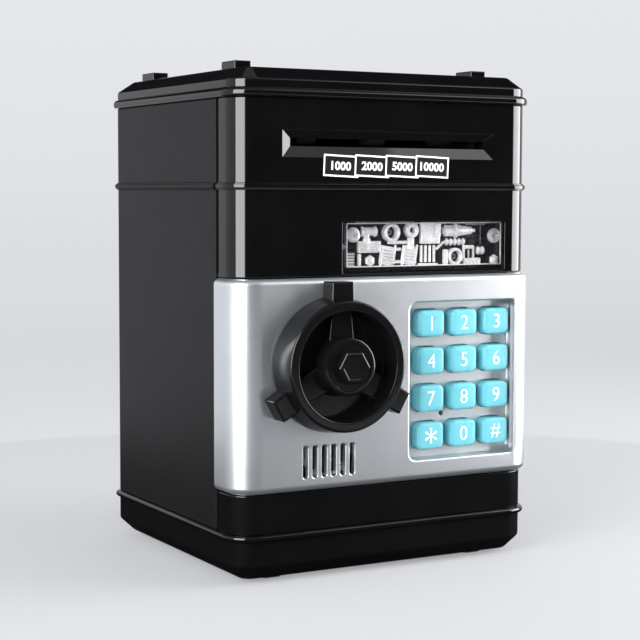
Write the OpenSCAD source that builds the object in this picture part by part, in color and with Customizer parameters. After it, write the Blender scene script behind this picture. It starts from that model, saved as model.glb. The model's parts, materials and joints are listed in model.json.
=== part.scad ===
// Toy cash machine savings bank: a lidded box with a wrap-round safe door, a twelve-key pad,
// a three-spoke knob that turns a latch, and a motor feeder behind the note slot.
// Row frame: +X to the right seen from the front, the front faces -Y, +Z up, origin on the
// floor under the middle of the whole object. All sizes in millimetres.

/* [Case] */
// Width across the plain side walls
body_w = 129; // [128:0.5:130]
// Depth from the plain front wall to the plain back wall
body_d = 113; // [112:0.5:114]
// Wall thickness of the mouldings
wall = 2.5; // [2.2:0.1:2.8]
// Radius of the upright front corners
front_r = 10; // [9:0.5:11]
// Radius of the upright rear corners
rear_r = 4; // [3.5:0.5:5]
// How far the lid and base beads stand proud of the walls
bead = 1.7; // [1.2:0.1:1.9]

/* [Door] */
// How far the door stands proud of the front wall
door_proud = 2; // [1.8:0.1:2.2]
// How far the door's wings stand proud of the side walls
wing_proud = 1.3; // [1.2:0.1:1.5]
// Thickness of the door skin
door_t = 2.6; // [2.4:0.1:2.8]
// Depth of the keypad recess
recess_depth = 6.3; // [6:0.1:6.5]

/* [Keypad] */
// Width of one key
key_w = 11.7; // [10.8:0.1:11.8]
// Height of one key
key_h = 10.2; // [9.8:0.1:10.4]
// Spacing of the key columns
key_pitch_x = 15.05; // [15:0.05:15.1]
// Spacing of the key rows
key_pitch_z = 14.37; // [14.3:0.01:14.45]
// Travel of a key
key_travel = 1.2; // [0.8:0.1:1.2]

/* [Knob] */
// Outer radius of the knob rim
knob_r = 24; // [23:0.5:24.5]
// Radius that the knob's three lugs reach
lug_r = 30.6; // [29:0.2:31]
// Radius of the spindle
spindle_r = 3; // [2.8:0.1:3]

/* [Note feeder] */
// Gear module
gear_m = 0.6; // [0.6]
// Teeth on the motor pinion
pinion_n = 10; // [10]
// Teeth on the large compound gear
wheel_n = 30; // [30]
// Teeth on the small compound gear
small_n = 12; // [12]
// Teeth on the drive shaft gear
shaft_gear_n = 24; // [24]

/* [Hidden] */
$fn = 48;

half_w = body_w / 2;
front_y = -48;                     // plain front wall
rear_y = front_y + body_d;         // plain back wall
seam_y = -30.4;                    // upright joint between front and rear shells
fit_gap = 0.3;                     // air between bodies that move past each other

// Heights
floor_z = 1.5;                     // underside of the base, on its feet
base_top = 18.6;
shell_top = 176.8;
lid_edge = 183.2;                  // where the lid's chamfer starts
lid_top = 187.7;
stud_top = 190.9;
alcove_z0 = 33.3;                  // the door alcove's floor
alcove_z1 = 112;                   // and its ceiling
door_z0 = 33.7;
door_z1 = 111.6;
rib_z = 145;                       // middle of the rib round the upper case

// Door
door_y = front_y - door_proud;     // outer face
door_skin_y = door_y + door_t;     // inner face of the skin
door_rear_y = -30.9;               // rear edge of both wings
door_x = half_w + wing_proud;
boss_r = 2.9;                      // hinge knuckle, round about the hinge line
hinge_x = door_x - boss_r;
hinge_y = door_rear_y - boss_r;
pin_r = 1;
cover_y = -35.2;                   // front of the door's inner cover
cover_t = 1.5;
frame_y = -32;                     // front of the wall that the door closes on
opening = [-46.5, 50, 40, 106];    // x0, x1, z0, z1 of the way into the money chamber

// Keypad
recess = [7.3, 56.2, 41.4, 101.4];  // x0, x1, z0, z1
recess_wall = 1.6;
recess_y = door_y + recess_depth;  // the recess floor
key_front_y = recess_y - 4.8;
key_x0 = 18.1;                     // middle of the first column
key_z0 = 93.15;                    // middle of the top row
key_flange = 0.8;
recess_back_y = recess_y + 1.5;

// Knob and lock
knob_x = -26.5;
knob_z = 80;
rim_y = front_y - 14.3;            // front of the rim
knob_back_y = door_y - 0.6;
disc_r = 13;
disc_y = -43;
notch_w = 3.6;
notch_depth = 4.5;
arm_len = 24.5;
arm_y = -29.4;

// Note slot and window
slot_x = [-46.3, 45.9];
slot_z = [155.5, 165.3];
slit_x = [-42.6, 42.2];
slit_z = [159.4, 162.3];
bevel_depth = 1.3;
throat_y = front_y + 8;
window = [-21.2, 51.7, 112.9, 132];

// Feeder shafts, all along X
drive_at = [-33, 154.2];
drive_roller_r = 6;
pinch_roller_r = 4;
pinch_at = [-33, 164.6];
frame_x = 45.5;                    // inner face of the feeder's end plates
compound_angle = -42;
compound_at = [drive_at[0] + gear_m * (small_n + shaft_gear_n) / 2 * cos(compound_angle),
    drive_at[1] + gear_m * (small_n + shaft_gear_n) / 2 * sin(compound_angle)];
motor_angle = -10;
motor_at = [compound_at[0] + gear_m * (pinion_n + wheel_n) / 2 * cos(motor_angle),
    compound_at[1] + gear_m * (pinion_n + wheel_n) / 2 * sin(motor_angle)];
shaft_r = 1.5;
motor_r = 10;
motor_flat = 7.6;                  // half the motor's height across its flats
inner_plane = 48.6;                // first plane of gears outside the right end plate
outer_plane = 53;                  // second plane of gears
running = 0.05;                    // radial clearance of a shaft in its hole

// Battery bay
cell_r = 7.25;
cell_len = 50.5;
cell_z = 11.2;
cell_y = [12, 27, 42];

black = [0.035, 0.035, 0.04];
charcoal = [0.11, 0.11, 0.115];
silver = [0.68, 0.69, 0.71];
teal = [0.42, 0.76, 0.79];
steel = [0.72, 0.73, 0.75];
white = [0.9, 0.9, 0.9];

// ---------- helpers ----------

// Case outline seen from above, grown outward by g
module plan(g = 0) {
    fr = max(front_r + g, 1);
    rr = max(rear_r + g, 0.6);
    x = half_w + g;
    y0 = front_y - g;
    y1 = rear_y + g;
    translate([-x + fr, y0]) square([2 * (x - fr), y1 - y0]);
    translate([-x, y0 + fr]) square([2 * x, y1 - y0 - fr - rr]);
    translate([-x + rr, y1 - rr - 0.01]) square([2 * (x - rr), rr + 0.01]);
    for (s = [-1, 1]) {
        translate([s * (x - fr), y0 + fr]) circle(fr);
        translate([s * (x - rr), y1 - rr]) circle(rr);
    }
}

module slab(z0, z1) translate([0, 0, z0]) linear_extrude(z1 - z0) children();

// Box from two corners
module block(a, b) translate(a) cube(b - a);

// Cylinder along +Y or +X between two stations
module rod_y(x, z, y0, y1, r) translate([x, y0, z]) rotate([-90, 0, 0]) cylinder(h = y1 - y0, r = r);
module rod_x(y, z, x0, x1, r) translate([x0, y, z]) rotate([0, 90, 0]) cylinder(h = x1 - x0, r = r);
module rod_z(x, y, z0, z1, r) translate([x, y, z0]) cylinder(h = z1 - z0, r = r);

// Rectangle with round corners, centred
module soft_rect(w, h, r) {
    square([w - 2 * r, h], center = true);
    square([w, h - 2 * r], center = true);
    for (sx = [-1, 1], sz = [-1, 1]) translate([sx * (w / 2 - r), sz * (h / 2 - r)]) circle(r);
}

// Extrudes an X-Z drawing from station y0 to y1
module face_y(y0, y1) translate([0, y1, 0]) rotate([90, 0, 0]) linear_extrude(y1 - y0) children();

// Open-topped ring of wall between two outlines
module plan_wall(g, t, z0, z1) slab(z0, z1) difference() { plan(g); plan(g - t); }

// ---------- case ----------

module front_half() intersection() {
    children();
    block([-80, -80, -5], [80, seam_y, 200]);
}

module rear_half() intersection() {
    children();
    block([-80, seam_y, -5], [80, 80, 200]);
}

module rib() {
    slab(rib_z - 1.4, rib_z + 1.4) difference() { plan(0.7); plan(-0.5); }
    slab(rib_z - 0.8, rib_z + 0.8) difference() { plan(1.3); plan(-0.5); }
}

// Shallow bevels that lead a note into the slit
module slot_bevels() hull() {
    block([slot_x[0], front_y - 0.1, slot_z[0]], [slot_x[1], front_y, slot_z[1]]);
    block([slit_x[0], front_y + bevel_depth - 0.1, slit_z[0]],
        [slit_x[1], front_y + bevel_depth, slit_z[1]]);
}

module front_shell() color(black) difference() {
    union() {
        front_half() {
            plan_wall(0, wall, base_top, alcove_z0);
            plan_wall(0, wall, alcove_z1, shell_top);
            rib();
            slab(alcove_z0 - 1.5, alcove_z0) plan(-0.5);
            slab(alcove_z1, alcove_z1 + 1.2) plan(-0.5);
            for (z = [[alcove_z1, alcove_z1 + 7], [alcove_z0 - 7, alcove_z0]])
                intersection() {
                    rod_z(hinge_x, hinge_y, z[0], z[1], boss_r);
                    slab(z[0], z[1]) plan(0);
                }
        }
        // wall that the door closes on
        block([-59.5, frame_y, alcove_z0 - 1.5], [59.5, frame_y + 2, alcove_z1 + 1.2]);
        // tongues that slip inside the rear shell
        for (s = [-1, 1], z = [[base_top + 3, alcove_z0], [alcove_z1 + 2, shell_top - 3]])
            block([min(s * 60.4, s * 61.8), -40, z[0]], [max(s * 60.4, s * 61.8), -25, z[1]]);
        // slot throat
        block([slot_x[0] - 1.5, front_y + 1, slot_z[0] - 1.5],
            [slot_x[1] + 1.5, throat_y, slot_z[1] + 1.5]);
        for (s = [-1, 1]) rod_z(s * 53, -38, base_top, alcove_z0 - 1, 3.4);
    }
    slot_bevels();
    block([slit_x[0], front_y, slit_z[0]], [slit_x[1], throat_y + 1, slit_z[1]]);
    block([window[0], front_y - 1, window[2]], [window[1], front_y + wall + 1, window[3]]);
    block([opening[0], frame_y - 1, opening[2]], [opening[1], frame_y + 3, opening[3]]);
    for (z = [[alcove_z1 - 1, alcove_z1 + 5.7], [alcove_z0 - 5.7, alcove_z0 + 1]])
        rod_z(hinge_x, hinge_y, z[0], z[1], pin_r);
    for (s = [-1, 1]) rod_z(s * 53, -38, base_top - 1, base_top + 10, 1.2);
}

module rear_shell() color(charcoal) difference() {
    union() {
        rear_half() {
            plan_wall(0, wall, base_top, shell_top);
            rib();
        }
        for (s = [-1, 1]) {
            rod_z(s * 56.5, 57, base_top, base_top + 14, 3.4);
            block([s * 59.5 - 3, 56, base_top], [s * 59.5 + 3, 58, base_top + 14]);
            for (y = [-10, 57]) {
                rod_z(s * 58, y, shell_top - 14, shell_top, 3.2);
                block([s * 60 - 2.5, y - 1, shell_top - 14], [s * 60 + 2.5, y + 1, shell_top]);
            }
        }
        // ledges that carry the mechanism cover
        for (s = [-1, 1]) block([min(s * 59, s * 62.5), -24, 111], [max(s * 59, s * 62.5), -1, 113]);
    }
    for (s = [-1, 1]) rod_z(s * 56.5, 57, base_top - 1, base_top + 10, 1.2);
    for (s = [-1, 1], y = [-10, 57]) rod_z(s * 58, y, shell_top - 10, shell_top + 1, 1.2);
}

module top_lid() color(black) difference() {
    union() {
        slab(shell_top + 3.3, lid_edge) plan(0);
        slab(shell_top + 0.6, shell_top + 2.8) plan(bead);
        slab(shell_top, shell_top + 3.4) plan(bead - 0.7);
        hull() {
            slab(lid_edge - 0.01, lid_edge) plan(0);
            slab(lid_top - 0.01, lid_top) plan(-6);
        }
        for (s = [-1, 1], y = [-28.2, 46])
            block([s * 52.2 - 3.4, y, lid_top - 1], [s * 52.2 + 3.4, y + 11.3, stud_top]);
    }
    slab(shell_top - 1, lid_edge) plan(-wall);
    hull() {
        slab(lid_edge - 0.01, lid_edge) plan(-wall);
        slab(lid_top - wall - 0.01, lid_top - wall) plan(-6 - wall);
    }
    block([-15, 22, lid_top - 5], [15, 25.2, lid_top + 1]);
    for (s = [-1, 1], y = [-10, 57]) rod_z(s * 58, y, shell_top - 1, shell_top + 3, 0.6);
}

module base_tray() color(black) difference() {
    union() {
        hull() {
            slab(floor_z, floor_z + 0.01) plan(-5.6);
            slab(6.9, 6.91) plan(0);
        }
        slab(6.9, base_top) plan(0);
        slab(base_top - 2.6, base_top) plan(bead - 0.6);
        slab(base_top - 2.1, base_top - 0.5) plan(bead);
        for (s = [-1, 1], y = [-38, 45])
            block([s * 45 - 3.75, y, 0], [s * 45 + 3.75, y + 10, floor_z + 0.5]);
    }
    difference() {
        slab(floor_z + 2.2, base_top + 1) plan(-6);
        // ribs round the battery bay, and the screw posts
        for (x = [-32.5, 31]) block([x, 2, floor_z], [x + 1.5, 52, base_top - 0.4]);
        for (y = [2, 50.5]) block([-32.5, y, floor_z], [32.5, y + 1.5, base_top - 0.4]);
        for (s = [-1, 1]) {
            rod_z(s * 53, -38, floor_z, base_top, 3.6);
            rod_z(s * 56.5, 57, floor_z, base_top, 3.6);
        }
    }
    // battery hatch and its ledge
    block([-31, 3.5, floor_z - 1], [31, 50.5, floor_z + 3]);
    for (s = [-1, 1]) {
        for (p = [[s * 53, -38], [s * 56.5, 57]]) {
            rod_z(p[0], p[1], -1, base_top + 1, 1.5);
            rod_z(p[0], p[1], -1, floor_z + 9, 2.7);
        }
    }
}

module chamber_floor() color(charcoal) difference() {
    slab(base_top + 0.2, base_top + 2.2) intersection() {
        plan(-wall - 0.2);
        translate([-70, frame_y + 2.2]) square([140, 120]);
    }
    for (s = [-1, 1]) {
        rod_z(s * 56.5, 57, base_top - 1, base_top + 4, 3.6);
        block([s * 60 - 3.6, 55.8, base_top - 1], [s * 60 + 3.6, 58.2, base_top + 4]);
        block([s * 61.6 - 1.4, -32, base_top - 1], [s * 61.6 + 1.4, -24.8, base_top + 4]);
    }
    rod_z(lead_at[0], lead_at[1], base_top - 1, base_top + 4, lead_r + 0.4);
}

// L-shaped cover that keeps notes and coins away from the gears
module mechanism_cover() color(charcoal) {
    block([-61.7, -2.2, alcove_z1 + 1.4], [61.7, -0.5, 158]);
    block([-44.5, -25.6, 156.6], [44.5, -2, 158]);
    difference() {
        block([-61.7, -23.8, alcove_z1 + 1.4], [61.7, -2, alcove_z1 + 2.8]);
        rod_z(lead_at[0], lead_at[1], alcove_z1, alcove_z1 + 4, lead_r + 0.4);
    }
}

module battery_cover() color(black) difference() {
    union() {
        block([-30.7, 3.8, floor_z], [30.7, 50.2, floor_z + 1.8]);
        for (i = [0:5]) block([-30.2 + i * 2, 20, floor_z - 0.5], [-29.2 + i * 2, 34, floor_z + 0.1]);
    }
    rod_z(26.5, 27, -1, floor_z + 3, 1.3);
}

module battery_cover_screw() color(steel) difference() {
    union() {
        rod_z(26.5, 27, floor_z - 0.9, floor_z - 0.01, 2.4);
        rod_z(26.5, 27, floor_z - 0.1, floor_z + 2, 1.25);
    }
    block([24.9, 26.7, 0], [28.1, 27.3, floor_z - 0.5]);
    block([26.2, 25.4, 0], [26.8, 28.6, floor_z - 0.5]);
}

module aa_cells() color("goldenrod") for (y = cell_y) {
    rod_x(y, cell_z, -cell_len / 2, cell_len / 2 - 1, cell_r);
    rod_x(y, cell_z, cell_len / 2 - 1, cell_len / 2, 2.6);
}

module battery_contacts() color(steel) for (y = cell_y) {
    block([cell_len / 2 + 0.1, y - 4.5, cell_z - 4.5], [cell_len / 2 + 0.5, y + 4.5, cell_z + 4.5]);
    block([-30.4, y - 4.5, cell_z - 4.5], [-30, y + 4.5, cell_z + 4.5]);
    for (i = [0:3]) rod_x(y, cell_z, -30 + i * 1.15, -29.4 + i * 1.15, 3.6 - i * 0.5);
    rod_x(y, cell_z, -30, -26, 1.2);
}

// Wire of round section along a list of corner points, each leg along one axis
module wire(points, r) {
    for (p = points) translate(p) sphere(r);
    for (i = [1:len(points) - 1]) {
        a = points[i - 1];
        d = points[i] - a;
        translate(a) rotate([0, acos(d[2] / norm(d)), atan2(d[1], d[0])]) cylinder(h = norm(d), r = r);
    }
}

// Lead from the battery bay up the left wall to the feeder's board
lead_at = [-57, -12];
lead_r = 1;
module battery_lead() color("firebrick") wire([[-20, 0.8, 14], [-20, lead_at[1], 14],
    [lead_at[0], lead_at[1], 14], [lead_at[0], lead_at[1], 119.8], [-47, lead_at[1], 119.8]], lead_r);

// ---------- window and note slot trim ----------

module window_lens() color([0.8, 0.88, 0.9, 0.35]) {
    block([window[0] + 0.1, front_y + 0.7, window[2] + 0.1],
        [window[1] - 0.1, front_y + wall, window[3] - 0.1]);
    block([window[0] - 1.8, front_y + wall, alcove_z1 + 1.4],
        [window[1] + 1.8, front_y + wall + 1, window[3] + 2]);
}

plate_y = -40.6;                   // face that the relief stands on
relief_y = -43.9;                  // highest relief
plate_screw = [[-12.6, 127], [51.4, 126.1]];

module tube_y(x, z, y0, r_out, r_in) difference() {
    rod_y(x, z, y0, plate_y, r_out);
    rod_y(x, z, y0 - 1, plate_y, r_in);
}

module louvre(x, z, w, h, n, tilt) translate([x, 0, z]) rotate([0, tilt, 0]) {
    difference() {
        block([-w / 2, -42.2, -h / 2], [w / 2, plate_y, h / 2]);
        for (i = [0:n - 1])
            block([-w / 2 + 0.8, -43, -h / 2 + (i + 0.5) * h / n - 0.3],
                [w / 2 - 0.8, plate_y - 0.4, -h / 2 + (i + 0.5) * h / n + 0.3]);
    }
}

module mechanism_plate() color(silver) {
    difference() {
        block([-22.5, plate_y - 0.01, alcove_z1 + 1.4], [57, plate_y + 1.4, 134.5]);
        rod_y(plate_screw[0][0], plate_screw[0][1], plate_y - 1, plate_y + 3, 1.2);
        rod_y(plate_screw[1][0], plate_screw[1][1], plate_y - 1, plate_y + 3, 1.2);
    }
    translate([1.5, 0, 0]) mechanism_relief();
}

module mechanism_relief() {
    // lens rings and the pillar under the second
    tube_y(1.6, 127.8, relief_y, 3.4, 2.3);
    tube_y(10.8, 128.6, relief_y + 0.6, 2.7, 1.2);
    block([9.4, -42.4, 121.5], [12.2, plate_y, 125.8]);
    // T pipe
    rod_z(-8.4, plate_y, 120.9, 128, 1.4);
    rod_x(plate_y, 128, -10.8, -4.6, 1.7);
    // louvred panels
    louvre(-7.3, 122.6, 4.2, 9.2, 6, 90);
    louvre(0.6, 119.2, 6.6, 6.8, 5, 9);
    louvre(10.3, 119, 6.6, 6.8, 5, 9);
    rod_x(plate_y, 116.6, 4, 7, 0.8);
    rod_x(plate_y, 121.4, 4, 7, 0.8);
    // coil, bar and nut at the lower left
    for (i = [0:3]) rod_x(plate_y, 116.8 + i * 1.05, -18, -13.6, 0.75);
    block([-12.4, -41.8, 116], [-11.2, plate_y, 119.8]);
    translate([-7.2, plate_y, 117.4]) rotate([90, 0, 0]) cylinder(h = 2.2, r = 2.2, $fn = 6);
    // tall box with rods below
    block([15.3, -43, 123.4], [23.6, plate_y, 131]);
    for (i = [0:3]) rod_z(16 + i * 1.9, plate_y, 116.8, 122.4, 0.75);
    // turned cylinder, flange and cone
    rod_x(plate_y, 128.2, 25.6, 31, 2.3);
    rod_x(plate_y, 128.2, 31, 31.9, 2.9);
    translate([31.9, plate_y, 128.2]) rotate([0, 90, 0]) cylinder(h = 7.2, r1 = 2, r2 = 1);
    // ringed pipe, lens, elbows and the block beside them
    rod_x(plate_y, 124, 26.6, 36, 1);
    for (i = [0:3]) rod_x(plate_y, 124, 27.5 + i * 2.3, 28.3 + i * 2.3, 1.4);
    tube_y(30.8, 118.3, relief_y + 0.8, 3, 1.7);
    rod_z(35.4, plate_y, 116.2, 121.6, 0.8);
    rod_x(plate_y, 121.6, 35.4, 39.6, 0.8);
    block([35.4, -41.8, 115], [43, plate_y, 117.6]);
    rod_x(plate_y, 120.6, 40.6, 44.6, 1.6);
    translate([49.6, plate_y, 116.6]) rotate([90, 0, 0]) cylinder(h = 1.8, r = 1.9, $fn = 6);
}

module plate_screws() color(steel) for (p = plate_screw) difference() {
    union() {
        rod_y(p[0], p[1], plate_y - 1.6, plate_y - 0.05, 2.9);
        rod_y(p[0], p[1], plate_y - 0.1, plate_y + 4, 1.15);
    }
    translate([p[0], plate_y - 0.9, p[1]]) rotate([90, 45, 0]) cylinder(h = 2, r = 1.4, $fn = 4);
}

tag_w = 14.9;
tag_h = 8;
tag_pitch = 13.2;

module note_tags() color(white) for (i = [0:3])
    translate([-21.95 + i * tag_pitch, front_y, 152.5]) rotate([0, 2.5, 0])
        block([-tag_w / 2 + 0.8, -0.15, -tag_h / 2], [tag_w / 2 - 0.8, 0, tag_h / 2]);

// ---------- fasteners and hinge ----------

module self_tapper(x, y, z_head, len, head_r = 2.5) {
    difference() {
        rod_z(x, y, z_head - 1.6, z_head, head_r);
        block([x - 1.7, y - 0.35, z_head - 1.7], [x + 1.7, y + 0.35, z_head - 0.9]);
        block([x - 0.35, y - 1.7, z_head - 1.7], [x + 0.35, y + 1.7, z_head - 0.9]);
    }
    rod_z(x, y, z_head - 0.1, z_head + len, 1.18);
}

module case_screws() color(steel) for (s = [-1, 1], p = [[53, -38], [56.5, 57]])
    self_tapper(s * p[0], p[1], floor_z + 8.9, 16);

module hinge_pins() color(steel) {
    rod_z(hinge_x, hinge_y, door_z1 - 3.6, alcove_z1 + 5.6, pin_r);
    rod_z(hinge_x, hinge_y, alcove_z0 - 5.6, door_z0 + 3.6, pin_r);
}

// ---------- note feeder ----------

// Involute tooth outline: the base-circle involute rolled from root to tip, mirrored for the far flank
pressure = 20;
function inv(a) = tan(a) * 180 / PI - a;
function flank(n, r) = let (rb = gear_m * n / 2 * cos(pressure)) r <= rb ? 0 : inv(acos(rb / r));
function polar(r, a) = r * [cos(a), sin(a)];
module gear_2d(n, thin = 0.09) {
    rp = gear_m * n / 2;
    tip = rp + 0.85 * gear_m;
    root = rp - 1.08 * gear_m;
    half = 90 / n - thin / rp * 180 / PI + inv(pressure);
    radii = [for (k = [0:3]) root + (tip - root) * k / 3];
    circle(root + 0.06);
    for (t = [0:n - 1]) rotate(t * 360 / n) polygon(concat(
        [polar(root - 0.3, -half)],
        [for (r = radii) polar(r, -half + flank(n, r))],
        [for (k = [3:-1:0]) polar(radii[k], half - flank(n, radii[k]))],
        [polar(root - 0.3, half)]));
}

// Gear standing along +X; turn is its phase, seen from +X with +Y to the right
module gear_x(at, x0, x1, n, turn) translate([x0, at[0], at[1]]) rotate([90, 0, 90])
    linear_extrude(x1 - x0) rotate(turn) gear_2d(n);

// A tooth of the drive gear points at the compound gear, which turns a gap towards it
drive_phase = compound_angle;
small_phase = compound_angle + 180 + 180 / small_n;
wheel_phase = motor_angle;
pinion_phase = motor_angle + 180 + 180 / pinion_n;

module feeder_frame() color(charcoal) difference() {
    union() {
        for (s = [-1, 1])
            block([min(s * frame_x, s * (frame_x + 1.5)), -39, 134],
                [max(s * frame_x, s * (frame_x + 1.5)), -4, 171]);
        block([-frame_x - 1.5, -39, 132.5], [frame_x + 1.5, -4, 134]);
        // lower guide for the note, behind the rollers
        block([-frame_x, -26.5, 158.4], [frame_x, -18, 159.6]);
    }
    for (p = [drive_at, pinch_at]) rod_x(p[0], p[1], -frame_x - 3, frame_x + 3, shaft_r + running);
    rod_x(motor_at[0], motor_at[1], frame_x - 1, frame_x + 3, 3.2);
    rod_x(compound_at[0], compound_at[1], frame_x - 1, frame_x + 3, 1);
}

module feed_motor() color(steel) {
    intersection() {
        rod_x(motor_at[0], motor_at[1], frame_x - 24, frame_x, motor_r);
        block([frame_x - 25, motor_at[0] - motor_r - 1, motor_at[1] - motor_flat],
            [frame_x + 1, motor_at[0] + motor_r + 1, motor_at[1] + motor_flat]);
    }
    rod_x(motor_at[0], motor_at[1], frame_x - 1, frame_x + 1.3, 3);
}

// The small gears share one plane beside the end plate, the motor's pair the next one out
module motor_pinion() color("gold") {
    gear_x(motor_at, outer_plane, outer_plane + 3.4, pinion_n, pinion_phase);
    rod_x(motor_at[0], motor_at[1], frame_x + 1.5, outer_plane + 4, 1);
}

module gear_axle() color(steel) rod_x(compound_at[0], compound_at[1], frame_x, outer_plane + 4, 1);

module compound_gear() color("ivory") difference() {
    union() {
        gear_x(compound_at, inner_plane, outer_plane + 0.5, small_n, small_phase);
        gear_x(compound_at, outer_plane, outer_plane + 3, wheel_n, wheel_phase);
    }
    rod_x(compound_at[0], compound_at[1], inner_plane - 1, outer_plane + 5, 1 + running);
}

module drive_gear() color("ivory") difference() {
    gear_x(drive_at, inner_plane, inner_plane + 3.4, shaft_gear_n, drive_phase);
    rod_x(drive_at[0], drive_at[1], inner_plane - 1, inner_plane + 5, shaft_r);
}

module drive_shaft() color(steel)
    rod_x(drive_at[0], drive_at[1], -frame_x - 2.5, outer_plane - 0.4, shaft_r);
module pinch_shaft() color(steel)
    rod_x(pinch_at[0], pinch_at[1], -frame_x - 2.5, frame_x + 2.5, shaft_r);

roller_x = [-30, 0, 30];
module drive_rollers() color("dimgray") for (x = roller_x) difference() {
    rod_x(drive_at[0], drive_at[1], x - 5, x + 5, drive_roller_r);
    rod_x(drive_at[0], drive_at[1], x - 6, x + 6, shaft_r);
}
module pinch_rollers() color("ivory") for (x = roller_x) difference() {
    rod_x(pinch_at[0], pinch_at[1], x - 4, x + 4, pinch_roller_r);
    rod_x(pinch_at[0], pinch_at[1], x - 5, x + 5, shaft_r);
}

module note_sensor() color("seagreen") {
    block([-23, -38.6, 147.2], [-8, -31, 148.4]);
    block([-17, -38.3, 148.4], [-14, -35.5, 153]);
    block([-12, -37, 148.4], [-9, -35, 149.6]);
}

module main_board() color("seagreen") {
    block([-48, -38, 117], [14, -8, 118.6]);
    block([-30, -28, 118.6], [-16, -16, 120.4]);
    for (i = [0:3]) rod_z(-8 + i * 5, -14, 118.6, 124, 1.8);
    block([4, -33, 118.6], [11, -26, 124]);
}

// ---------- door ----------

// Door skin seen from above: a flat front with wings that wrap both front corners
module door_plan(g) {
    r = 10.5 + g;
    x = door_x + g;
    intersection() {
        union() {
            translate([-x + r, door_y - g]) square([2 * (x - r), r]);
            for (s = [-1, 1]) translate([s * (x - r), door_y - g + r]) circle(r);
            translate([-x, door_y - g + r]) square([2 * x, 20]);
        }
        translate([-x, door_y - g]) square([2 * x, door_rear_y - door_y + g]);
    }
}

// Twelve places of the keypad, row by row
function key_at(i) = [key_x0 + (i % 3) * key_pitch_x, key_z0 - floor(i / 3) * key_pitch_z];

grille_x0 = -37.6;
grille_pitch = 3.95;
grille_z = [38.3, 50.3];
led_at = [25.4, 57.82];

module door_skin() difference() {
    slab(door_z0, door_z1) {
        difference() { door_plan(0); door_plan(-door_t); }
    }
    // the hinge wing ends in a knuckle that is round about the hinge line
    block([hinge_x - 4, hinge_y, door_z0 - 1], [door_x + 1, door_rear_y + 1, door_z1 + 1]);
}

module door_panel() color(silver) difference() {
    union() {
        door_skin();
        rod_z(hinge_x, hinge_y, door_z0, door_z1, boss_r);
        // top and bottom walls
        for (z = [door_z0, door_z1 - 2]) slab(z, z + 2) intersection() {
            door_plan(-1);
            translate([-70, door_y]) square([140, cover_y + 1.8 - door_y]);
        }
        // keypad recess
        block([recess[0] - recess_wall, door_skin_y - 0.2, recess[2] - recess_wall],
            [recess[1] + recess_wall, recess_back_y, recess[3] + recess_wall]);
        // screw posts for the inner cover
        for (p = door_post) rod_y(p[0], p[1], door_skin_y - 0.2, cover_y - 0.05, 2.6);
    }
    face_y(door_y - 1, recess_y) translate([(recess[0] + recess[1]) / 2, (recess[2] + recess[3]) / 2])
        soft_rect(recess[1] - recess[0], recess[3] - recess[2], 3);
    face_y(recess_y - 1, recess_back_y + 1) for (i = [0:11]) translate(key_at(i))
        soft_rect(key_w + 0.7, key_h + 0.7, 3.1);
    rod_y(led_at[0], led_at[1], recess_y - 1, recess_back_y + 1, 0.95);
    face_y(door_y - 1, door_skin_y + 1) for (i = [0:5])
        translate([grille_x0 + i * grille_pitch, (grille_z[0] + grille_z[1]) / 2])
            soft_rect(2.2, grille_z[1] - grille_z[0], 1);
    rod_y(knob_x, knob_z, door_y - 1, door_skin_y + 1, 5.5);
    rod_z(hinge_x, hinge_y, door_z0 - 1, door_z0 + 4, pin_r + running);
    rod_z(hinge_x, hinge_y, door_z1 - 4, door_z1 + 1, pin_r + running);
    for (p = door_post) rod_y(p[0], p[1], cover_y - 9, cover_y + 1, 1);
}

door_post = [[-56, 105], [-56, 41], [0.5, 105.6], [0.5, 40]];

module door_inner_cover() color(charcoal) difference() {
    block([-62, cover_y, door_z0 + 2.3], [58.5, cover_y + cover_t, door_z1 - 2.3]);
    rod_y(knob_x, knob_z, cover_y - 1, cover_y + cover_t + 1, spindle_r + 0.4);
    for (p = door_post) rod_y(p[0], p[1], cover_y - 1, cover_y + cover_t + 1, 1.3);
}

module door_screws() color(steel) for (p = door_post) difference() {
    union() {
        rod_y(p[0], p[1], cover_y + cover_t, cover_y + cover_t + 1.2, 2.4);
        rod_y(p[0], p[1], cover_y - 8, cover_y + cover_t + 0.1, 1);
    }
    for (arm = [[1.6, 0.3], [0.3, 1.6]])
        block([p[0] - arm[0], cover_y + cover_t + 0.6, p[1] - arm[1]],
            [p[0] + arm[0], cover_y + cover_t + 2, p[1] + arm[1]]);
}

mat_y = recess_back_y + key_flange + fit_gap + key_travel + 0.4;

module key_dome_mat() color("lightgray") {
    block([recess[0], mat_y + 0.6, recess[2] + 1], [recess[1], mat_y + 1.3, recess[3] - 1]);
    for (i = [0:11]) rod_y(key_at(i)[0], key_at(i)[1], mat_y, mat_y + 0.7, 3.4);
}

module keypad_board() color("seagreen") {
    block([recess[0] - 1, mat_y + 1.35, recess[2] - 1], [recess[1] + 1, mat_y + 2.75, recess[3] + 1]);
    block([20, mat_y + 2.75, 60], [32, mat_y + 3.6, 70]);
}

module status_led() color([0.4, 0.9, 0.5]) {
    rod_y(led_at[0], led_at[1], recess_back_y + 0.1, mat_y + 0.55, 0.9);
}

speaker_at = [-27.7, 47.8];
module speaker_basket() color("dimgray") {
    difference() {
        rod_y(speaker_at[0], speaker_at[1], door_skin_y + 0.1, -43.4, 10.5);
        translate([speaker_at[0], -47.4, speaker_at[1]]) rotate([-90, 0, 0])
            cylinder(h = 3, r1 = 9.6, r2 = 4);
    }
    rod_y(speaker_at[0], speaker_at[1], -43.4, -39.5, 5.6);
}

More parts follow.
